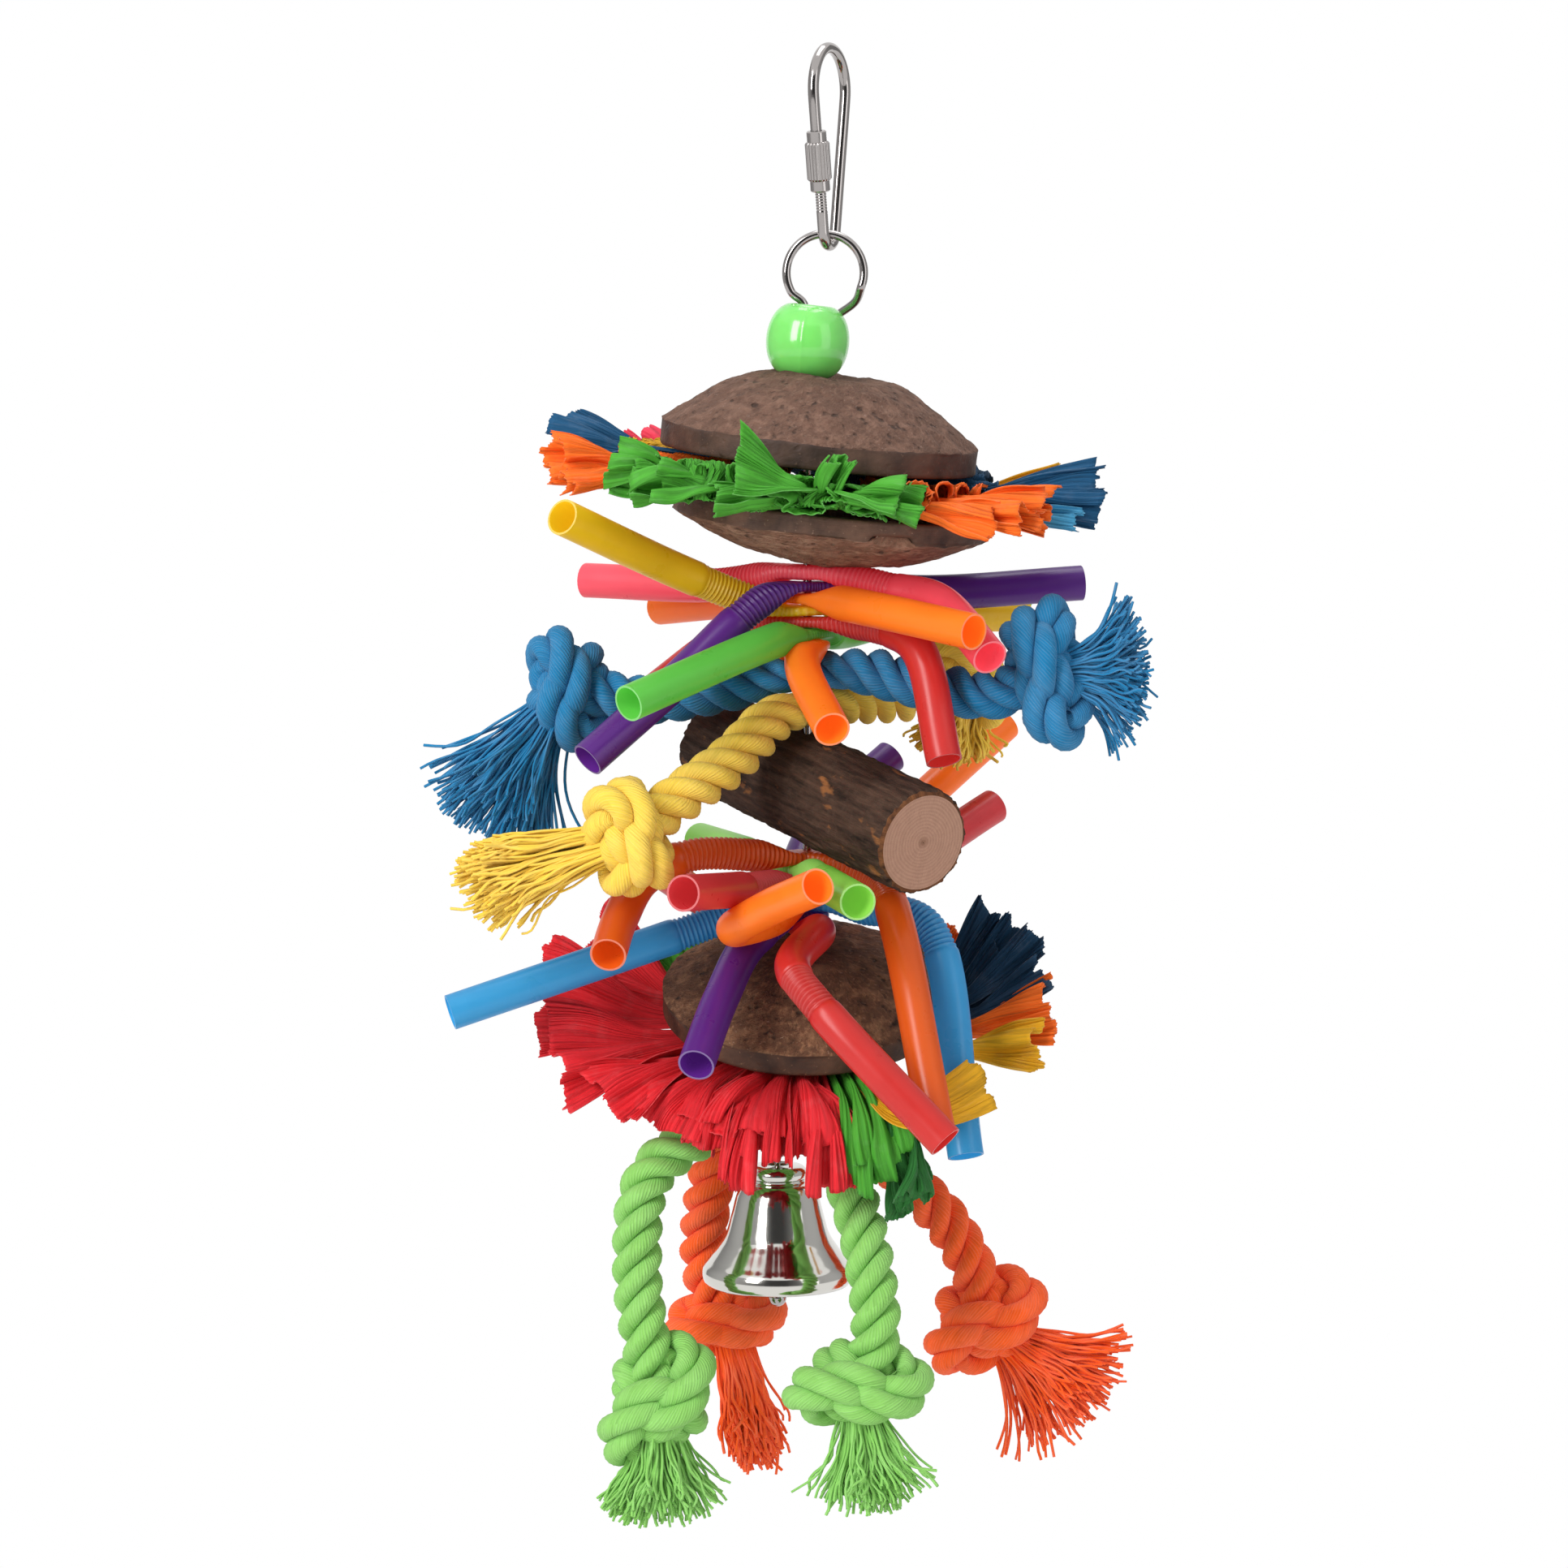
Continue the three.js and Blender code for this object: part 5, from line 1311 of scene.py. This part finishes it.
LOWER_PAPERS = {
    "red_left": [
        strip(146, 174, 20, 4, 1.6, curl=0.03, base=1, rise=30, bend=8, twist=-30),
        strip(164, 194, 23, 4, 1.8, curl=0.03, base=0.8, rise=17, bend=10, twist=-42),
        strip(182, 210, 22, 4, 1.8, curl=0.03, base=0.2, rise=8, bend=10, twist=-32),
        strip(200, 226, 17, 4, 1.8, curl=0.03, base=-0.4, rise=2, bend=20, twist=-14),
        strip(216, 240, 13, 4, 1.8, curl=0.04, base=-1, rise=-4, bend=48, twist=-6),
        strip(184, 252, 10, 3, 3, curl=0.04, base=-2.2, rise=-3, bend=24),
    ],
    "red_front": [
        strip(234, 248, 14, 4, 1.6, curl=0.06, rise=-12, bend=66),
        strip(246, 256, 20, 4, 1.4, curl=0.08, rise=-14, bend=74, crumple=1.5),
        strip(252, 266, 12.5, 5, 2, curl=0.06, base=0.8, rise=-14, bend=70),
        strip(262, 274, 12.5, 5, 2, curl=0.06, rise=-14, bend=70),
        strip(270, 286, 19, 5, 2, curl=0.06, rise=-14, bend=72),
        strip(236, 286, 10, 5, 3, base=-1.5, rise=-10, bend=50),
        strip(240, 284, 8, 4, 2.6, base=2, rise=-14, bend=60),
    ],
    "green_low": [
        strip(280, 293, 19, 6, 2.6, curl=0.16, base=0.5, rise=-18, bend=70, twist=30, crumple=3, pinch=0.9),
        strip(290, 302, 25, 6, 2.6, curl=0.18, rise=-22, bend=70, twist=70, crumple=3.4, pinch=0.9,
              shade="leaf"),
        strip(283, 298, 14, 5, 2.4, curl=0.14, base=1.2, rise=-12, bend=60, crumple=2.4),
        strip(294, 304, 21, 5, 2, curl=0.16, base=-1, rise=-26, bend=62, twist=-40, crumple=3, shade="leaf"),
        strip(284, 312, 10, 5, 2, base=-1, rise=-8, bend=40),
    ],
    "yellow_low": [
        strip(333, 348, 18, 4, 1.4, rise=17, bend=4, twist=30),
        strip(287, 297, 38, 1, 1, base=0.5, rise=9, twist=90, crumple=0.2, aside=48.5, tip=40),
    ],
    "orange_low": [strip(344, 362, 19, 4, 1.6, rise=20, bend=2, twist=35)],
    "navy_right": [
        strip(358, 369, 19, 1.6, 0.6, curl=0.02, rise=28, bend=-6, twist=45),
        strip(367, 377, 22, 1.6, 0.6, curl=0.02, base=0.8, rise=38, bend=-6, twist=40),
        strip(375, 385, 20, 1.6, 0.6, curl=0.02, rise=46, bend=-4, twist=40),
        strip(382, 393, 19, 1.6, 0.6, curl=0.02, base=0.8, rise=54, twist=35),
        strip(362, 386, 15, 3, 1.4, base=-0.8, rise=32, twist=30),
        strip(394, 412, 13, 4, 1.5, rise=34, shade="orange"),
    ],
    "green_back": [
        strip(118, 138, 11, 5, 2, rise=18),
        strip(136, 157, 12, 5, 2, rise=22, twist=-20),
    ],
}


def papers(fans, fan, body, first_seed):
    for count, (name, strips) in enumerate(fans.items()):
        draw = np.random.default_rng(first_seed + count)
        own = name.split("_")[0]
        shades = [own]
        shape = Shape()
        for sheet in strips:
            shade = sheet["shade"] or own
            if shade not in shades:
                shades.append(shade)
            paper_strip(shape, fan, sheet, 2 * shades.index(shade), draw)
        finishes = [each for shade in shades for each in (paper_finish[shade], edge_finish[shade])]
        made = shape.piece(f"{name}_strips", body, f"paper_{name}", f"paper_{own}", *finishes)
        thick = made.modifiers.new("paper_sheet", "SOLIDIFY")
        thick.thickness = PAPER_SHEET * MM
        thick.offset = 0
        thick.material_offset_rim = 1


papers(UPPER_PAPERS, upper_fan, "shell_pair", UPPER_PAPER_SEED)
papers(LOWER_PAPERS, lower_fan, "lower_shell", LOWER_PAPER_SEED)

# Drinking straws

STRAW_DIA = 7.0
STRAW_WALL = 0.4
STRAW_FLAT = 2.24
STRAW_FLAT_WIDTH = 9.0
# How much taller a straw with room above it is at the stem
PLUMP = {"redorange_lower": 0.4, "pink_upper": 1.0}
STRAW_FLAT_REACH = 5.0
STRAW_ROUND_REACH = 12.5
RIB_DIA = 6.5
RIB_DEPTH = 0.42
RIB_PITCH = 0.95
RIB_REACH = 23.0
# The ribs that run on round a bend: how far they reach on the left and on the right
RIB_ENDS = {
    "blue_lower": (-27, 33), "red_lower": (-47, -36), "redorange_lower": (-28, 27), "purple_lower": (-12, 20),
    "orange_upper": (-18, 2), "green_upper": (-7, 10), "purple_upper": (-18, 12), "orange_front": (-1.5, 12),
    "yellow_upper": (-23, 6), "red_upper": (-23, 20), "pink_upper": (-23, 19), "orange_lower": (-3, 12),
}
STRAW_SIDES = 28
STRAW_GLOW = 0.35
# How bright the painted glow on a straw's lining is
LINING_PAINTED_GLOW = 0.32
STRAW_COLOURS = {
    "pink": colour(250, 104, 122),
    "pink_lower": colour(222, 74, 80),
    "purple": colour(106, 44, 150),
    "orange": colour(252, 146, 42),
    "yellow": colour(240, 210, 38),
    "red": colour(218, 58, 54),
    "green": colour(116, 214, 90),
    "redorange": colour(230, 106, 28),
    "lightgreen": colour(164, 224, 100),
    "blue": colour(68, 174, 222),
}
UPPER_STRAWS = {
    "pink": ([(-18.5, 12, -2.5), (-44.6, 26, -2.4)], [(17, -8, -2.6), (25, -14, -4.2), (34.4, -32, -14)]),
    "purple": ([(-10.5, -7.5, -3.5), (-26, -13, -18), (-42.3, -24, -32)], [(23.3, 8, -1.6), (54.7, 14, 0)]),
    "orange": ([(-14, 20, -1.5), (-30, 38, -4)], [(14.5, -21, -1.4), (31.1, -38, -4.2)]),
    "yellow": ([(-13, 0.5, 2.5), (-25.4, -6, 8), (-46.5, -33, 19.5)], [(19, 13, -1.5), (43.7, 28, -2.5)]),
    "red": ([(-14.5, 9, -3), (-33, 22, -17)], [(13.4, -9, -0.5), (21, -17, -4), (26, -27, -25)]),
    "green": ([(-9.5, -17, -1.5), (-33.8, -42, -10.5)], [(8, 17, -0.5), (24, 32, 3), (45, 44, 6)]),
    "orange_front": ([(-1, -14, -3.5), (4.4, -37, -13.5)], [(-6, 15, -2), (-10, 46, -6)]),
}
LOWER_STRAWS = {
    "redorange": (
        [(-11, -7, 1.2), (-23, -11.5, 1.6), (-31.7, -14.5, -2.4), (-36, -24, -9), (-38, -37, -14.5)],
        [(14, -9, -4), (17, -21, -10.2), (24.3, -44.5, -47)],
    ),
    "lightgreen": ([(1.5, -16, 0.2), (9.2, -46, -1)], [(-9, 14, 0.5), (-22, 44, 1)]),
    "pink": ([(-10.5, -15.5, 0.3), (-23.6, -42.2, 2.5)], [(16, 8, 1), (38, 27, 12)]),
    "orange": (
        [(-6.5, -14, -3.4), (-14.2, -22, -4.6), (-7, -36, 1.5), (1.7, -50, 7)],
        [(6.5, 15.5, 1), (24, 37, 15), (41.4, 52, 29)],
    ),
    "blue": (
        [(-14, -2, -2), (-28, -5, -6.5), (-69.7, -14, -19.7)],
        [(11, -4.5, -0.5), (23.5, -12, -3), (30.4, -28, -45.6)],
    ),
    "purple": (
        [(-11, -10.5, -4), (-16.6, -26, -12.6), (-21.2, -44, -23)],
        [(-3, 17.5, 2.4), (3, 38, 15), (17.6, 50, 27)],
    ),
    "red": (
        [(2, -13, 0.5), (-3, -30, -4), (2, -41, -10), (25.6, -52, -34)],
        [(-14.5, 9, 1.2), (-33, 35, 9)],
    ),
}


def straw_plastic(name, shade):
    """Thin dyed plastic: painted shade and highlights on the ribs (zone 1), paler on the cut rim (zone 2), a
    painted glow inside (zone 3).
    """
    finish = Finish(f"{name}_straw_plastic", Specular_IOR_Level=0.5, Emission_Strength=1.0)
    _, length = finish.turn_and_length()
    zone = finish.zone()
    haze = finish.grain(finish.place(), 190.0, 3.0)
    crest_highlight = ((length / RIB_PITCH * TAU).sine() * 0.5 + 0.5) ** 3.0
    ribbed = (zone > 0.5) * (zone < 1.5)
    rim = (zone > 1.5) * (zone < 2.5)
    mixed = finish.blend(haze.between(0.2, 0.8), darker(shade, 0.9), shade)
    # Darker over the ribbed part: painted shade in the rib grooves
    mixed = finish.blend(ribbed * 0.3, mixed, darker(shade, 0.6))
    # Paler on the rib crests: painted highlights
    mixed = finish.blend(ribbed * crest_highlight * 0.5, mixed, paler(shade, 0.12))
    mixed = finish.blend(rim, mixed, paler(shade, 0.16))
    finish.feed("Base Color", mixed)
    # The lining glows in the straw's colour: a painted glow for the light through the thin walls
    finish.feed("Emission Color", finish.blend(zone > 2.5, BLACK, darker(shade, LINING_PAINTED_GLOW)))
    finish.feed("Roughness", haze.between(0.2, 0.8) * 0.1 + 0.25)
    through = finish.node("ShaderNodeBsdfTranslucent", sockets={"Color": shade})
    finish.end("Material Output", finish.mix(STRAW_GLOW, finish.skin(), through))
    return finish


straw_finish = {name: straw_plastic(name, shade) for name, shade in STRAW_COLOURS.items()}


def straw_route(level, left, right):
    def near(arm):
        share = STRAW_FLAT_REACH / math.hypot(arm[0][0], arm[0][1])
        return (arm[0][0] * share, arm[0][1] * share, 0)

    points = [*left[::-1], near(left), (0, 0, 0), near(right), *right]
    return Route(from_stem(points, level), len(left) + 1)


def straw(name, body, level, left, right):
    route = straw_route(level, left, right)
    level_name = "upper" if body == "upper_straws" else "lower"
    whole_name = name if name == "orange_front" else f"{name}_{level_name}"
    usual_ends = (max(route.along[0] * 0.6, -RIB_REACH), min(route.along[-1] * 0.6, RIB_REACH))
    rib_from, rib_to = RIB_ENDS.get(whole_name, usual_ends)
    plump = PLUMP.get(whole_name, 0.0)
    fine = RIB_PITCH / 6
    ribs = np.arange(math.floor(rib_from / fine), math.ceil(rib_to / fine) + 1) * fine
    before = np.linspace(route.along[0], ribs[0] - 0.5, int(ribs[0] - route.along[0]) + 8)
    after = np.linspace(ribs[-1] + 0.5, route.along[-1], int(route.along[-1] - ribs[-1]) + 8)
    s = np.concatenate([before, ribs, after])
    ribbed = ease(s, rib_from - 1, rib_from + 1.2) * (1 - ease(s, rib_to - 1.2, rib_to + 1))
    flat = 1 - ease(np.abs(s), STRAW_FLAT_REACH * 0.7, STRAW_ROUND_REACH)
    wave = 0.5 - 0.5 * np.sin(TAU * s / RIB_PITCH)
    round_half = STRAW_DIA / 2 + ribbed * ((RIB_DIA - STRAW_DIA) / 2 - RIB_DEPTH * wave * (1 - 0.6 * flat))
    half_width = round_half + (STRAW_FLAT_WIDTH / 2 - STRAW_DIA / 2) * flat
    squash = ((STRAW_FLAT + plump) / 2 - STRAW_DIA / 2) * flat
    half_height = round_half + squash * (round_half / (STRAW_DIA / 2))
    half_height = np.maximum(half_height, STRAW_FLAT / 2 - 0.1)
    rise = (flat * plump / 2)[:, None, None] * (0, 0, 1)
    outer = route.rings(s, half_width, half_height, STRAW_SIDES, flat) + rise
    lining = route.rings(s, half_width - STRAW_WALL, half_height - STRAW_WALL, STRAW_SIDES, flat) + rise
    shape = Shape()
    shape.grid(outer, lengths=s, zone=(ribbed[1:] > 0.5).astype(float), flip=True)
    for end in (0, -1):
        shape.grid([outer[end], lining[end]], zone=2.0, flip=end == -1)
    shape.grid(lining, lengths=s, zone=3.0)
    shade = name.split("_")[0]
    finish = straw_finish.get(whole_name, straw_finish[shade])
    shape.piece(f"{whole_name}_straw_tube", body, f"straw_{whole_name}", f"straw_{shade}", finish)


def straw_bunch(body, top, arms):
    for count, (name, (left, right)) in enumerate(arms.items()):
        straw(name, body, top - count * STRAW_PITCH, left, right)


straw_bunch("upper_straws", UPPER_STRAW_TOP, UPPER_STRAWS)
straw_bunch("lower_straws", LOWER_STRAW_TOP, LOWER_STRAWS)

# Bark log

LOG_RADIUS = 10.75
LOG_LENGTH = 70.0
LOG_NEAR = 39.0
LOG_AXIS = unit(np.array([0.56, -0.8, -0.2]))
LOG_SIDES = 180
LOG_ROWS = 150
BARK_THICK = 1.0
BARK_EDGE = 0.35
# The whole skin lies this much inside the log's radius, so that the bark stays clear of its neighbours
BARK_INSET = 0.4


def bark_and_wood():
    """Dark furrowed bark (zone 0), the torn tan layer under it (zone 1) and the sawn face (zone 2)."""
    finish = Finish("bark_and_cut_wood", Specular_IOR_Level=0.2)
    turn, length = finish.turn_and_length()
    zone = finish.zone()
    spot = finish.place()
    furrow = finish.grain(finish.joined(turn * 42.0, length * 0.07), 1.0, 6.0, 0.65)
    flake = finish.grain(finish.joined(turn * 16.0, length * 0.11, 4.0), 1.0, 3.0, 0.6)
    dust = finish.grain(spot, 700.0, 4.0)
    bark = finish.blend(furrow.between(0.32, 0.68), colour(34, 25, 21), colour(86, 64, 52))
    bark = finish.blend(flake.between(0.62, 0.7), bark, colour(142, 92, 54))
    bark = finish.blend(dust.between(0.5, 0.8) * 0.3, bark, colour(104, 82, 70))
    wander = finish.grain(spot, 140.0, 2.0) * 0.06
    rings = (((length + wander * 22.0) * 1.3) * TAU).sine() * 0.5 + 0.5
    wood = finish.blend(rings * 0.3 + dust * 0.4, colour(178, 138, 117), colour(142, 104, 86))
    core = 1 - length.between(0.4, 1.6)
    wood = finish.blend(core * 0.6, wood, colour(120, 82, 62))
    torn = finish.blend(dust.between(0.3, 0.7), colour(128, 82, 50), colour(74, 46, 32))
    skin = finish.blend(zone > 0.5, bark, torn)
    finish.feed("Base Color", finish.blend(zone > 1.5, skin, wood))
    finish.feed("Roughness", 0.92 - (zone > 1.5) * 0.12)
    finish.bump(furrow * (1 - (zone > 1.5) * 0.9) + dust * 0.25, 0.0012, 0.9)
    return finish


def bark_log():
    middle = np.array([STEM_X, 0, LOG_Z])
    near = middle + LOG_AXIS * LOG_NEAR
    far = near - LOG_AXIS * LOG_LENGTH
    route = Route([far, (far + near) / 2, near])
    s = np.linspace(0, LOG_LENGTH, LOG_ROWS)
    angle = full_turn(LOG_SIDES)
    rings = route.rings(s, LOG_RADIUS, LOG_RADIUS, LOG_SIDES)
    centres = route.at(s)[0][:, None]
    outwards = unit(rings - centres)
    long_way = turned(3.2, s[:, None] / 12, angle)
    furrows = bumps(long_way * 9.0, 3.4)
    lumps = bumps(long_way * 9.0 + 50.0, 16.0, 2)
    edge_near = 0.3 + 0.5 * np.abs(bumps(turned(7, 0, angle), 2.2))
    edge_far = np.roll(edge_near, LOG_SIDES // 3)
    last = LOG_LENGTH - edge_near
    kept = ease(s[:, None], edge_far - BARK_EDGE, edge_far + BARK_EDGE)
    kept = kept * (1 - ease(s[:, None], last - BARK_EDGE, last + BARK_EDGE))
    lump = kept * (0.35 * furrows + 0.3 * lumps) - (1 - kept) * BARK_THICK - BARK_INSET
    rings = rings + outwards * lump[..., None]
    shape = Shape()
    worn = (kept.mean(axis=1) < 0.5).astype(float)
    shape.grid(rings, lengths=s, zone=np.maximum(worn[1:], worn[:-1]), flip=True)
    for end, flip in ((0, False), (-1, True)):
        rim = rings[end]
        shares = np.linspace(1, 0.01, 24)
        disc = centres[end] + (rim - centres[end]) * shares[:, None, None]
        shape.grid(disc, lengths=shares * LOG_RADIUS, zone=2.0, flip=flip)
    shape.piece("bark_log_branch", "log", "bark_log", "bark", bark_and_wood())


bark_log()

# Bell, its wire hanger and the clapper

BELL_RADIUS = 15.0
BELL_HEIGHT = 24.0
BELL_WALL = 0.9
BELL_SIDES = 120
HANGER_WIRE = 1.2
HANGER_RADIUS = 1.75
HANGER_WIDEN = 1.5
HANGER_ELBOW = 2.2
CLAPPER_WIRE = 1.0
CLAPPER_BALL = 3.6
CLAPPER_RING = 1.5
CLAPPER_DROP = 3.0
CLAPPER_STEPS = 160
BALL_ROWS = 26
BALL_SIDES = 40
BALL_SEAM = 0.012
# The bell's outside, as shares of its radius and its height, crown first
BELL_CROWN = [(0.2, 0.0), (0.33, 0.015), (0.385, 0.05), (0.39, 0.1), (0.365, 0.135)]
BELL_BODY = [
    (0.4, 0.15), (0.47, 0.175), (0.535, 0.245), (0.61, 0.42), (0.69, 0.59), (0.78, 0.68), (0.905, 0.79),
    (0.985, 0.86), (1.0, 0.92), (0.985, 0.97), (0.95, 1.0),
]


def smooth_outline(shares, steps):
    line = Route([(radius * BELL_RADIUS, 0, -depth * BELL_HEIGHT) for radius, depth in shares])
    return line.at(line.spread(steps))[0][:, (0, 2)]


def bell_dome():
    crown = smooth_outline(BELL_CROWN, 24)
    body = smooth_outline(BELL_BODY, 70)
    lining = body[::-1][2:] - (BELL_WALL, BELL_WALL / 3)
    hole = HANGER_RADIUS + HANGER_WIRE / 2 + FIT
    outline = np.vstack([[(hole, -BELL_WALL), (hole, 0)], crown, body, lining, [(hole, -BELL_WALL - 0.01)]])
    rings = turned(outline[:, 0, None], outline[:, 1, None], full_turn(BELL_SIDES))
    shape = Shape()
    shape.grid(rings + (FOOT_X, 0, CROWN_TOP), flip=True)
    shape.piece("bell_skirt", "bell", "bell_dome", "bell_chrome", chrome)


def bell_hanger():
    hanger_top = FOOT_WIRE_Z + WIRE / 2 + FIT + HANGER_WIRE / 2
    shoulder = HANGER_RADIUS + HANGER_WIDEN
    elbow = HANGER_FOOT + HANGER_ELBOW
    under = CROWN_TOP - BELL_WALL - FIT
    bends = [(shoulder, elbow - HANGER_WIRE / 2), (shoulder, elbow), (HANGER_RADIUS, under)]
    for angle in np.linspace(0, math.pi, 13):
        rise = HANGER_RADIUS * math.sin(angle)
        bends.append((HANGER_RADIUS * math.cos(angle), hanger_top - HANGER_RADIUS + rise))
    bends += [(-HANGER_RADIUS, under), (-shoulder, elbow)]
    bends += [(-shoulder * 0.8, HANGER_FOOT + HANGER_ELBOW / 3), (-shoulder * 0.3, HANGER_FOOT)]
    bends += [(shoulder * 0.3, HANGER_FOOT), (shoulder * 0.75, HANGER_FOOT + HANGER_ELBOW / 6)]
    spots = [(FOOT_X, y, z) for y, z in bends]
    bent_wire("bell_hanger_wire", "bell", nickel, "bell_hanger", spots, HANGER_WIRE / 2, 14, 0.2, "nickel")


def bell_clapper():
    ring_z = HANGER_FOOT + HANGER_WIRE / 2 + FIT + CLAPPER_WIRE / 2 - CLAPPER_RING
    spots = wire_ring(FOOT_X, ring_z, CLAPPER_RING, -40, 250, 18)
    ball_z = BELL_MOUTH - CLAPPER_DROP
    neck_z = ring_z - 2.2 * CLAPPER_RING
    spots.extend((FOOT_X, 0, z) for z in np.linspace(neck_z, ball_z, 6))
    route = Route(spots)
    s = route.spread(CLAPPER_STEPS)
    shape = Shape()
    rod = route.rings(s, CLAPPER_WIRE / 2, CLAPPER_WIRE / 2, 12)
    shape.grid(rod, lengths=s)
    shape.lid(rod[0], flip=True)
    polar = np.linspace(0.02, math.pi - 0.02, BALL_ROWS)[:, None]
    seam = 1 + BALL_SEAM * np.exp(-(((polar - math.pi / 2) / 0.05) ** 2))
    radius = CLAPPER_BALL / 2 * seam * np.sin(polar)
    ball = turned(radius, CLAPPER_BALL / 2 * np.cos(polar), full_turn(BALL_SIDES))
    shape.grid(ball + (FOOT_X, 0, ball_z), flip=True)
    shape.piece("clapper_rod_and_ball", "clapper", "bell_clapper", "nickel", nickel)


bell_dome()
bell_hanger()
bell_clapper()
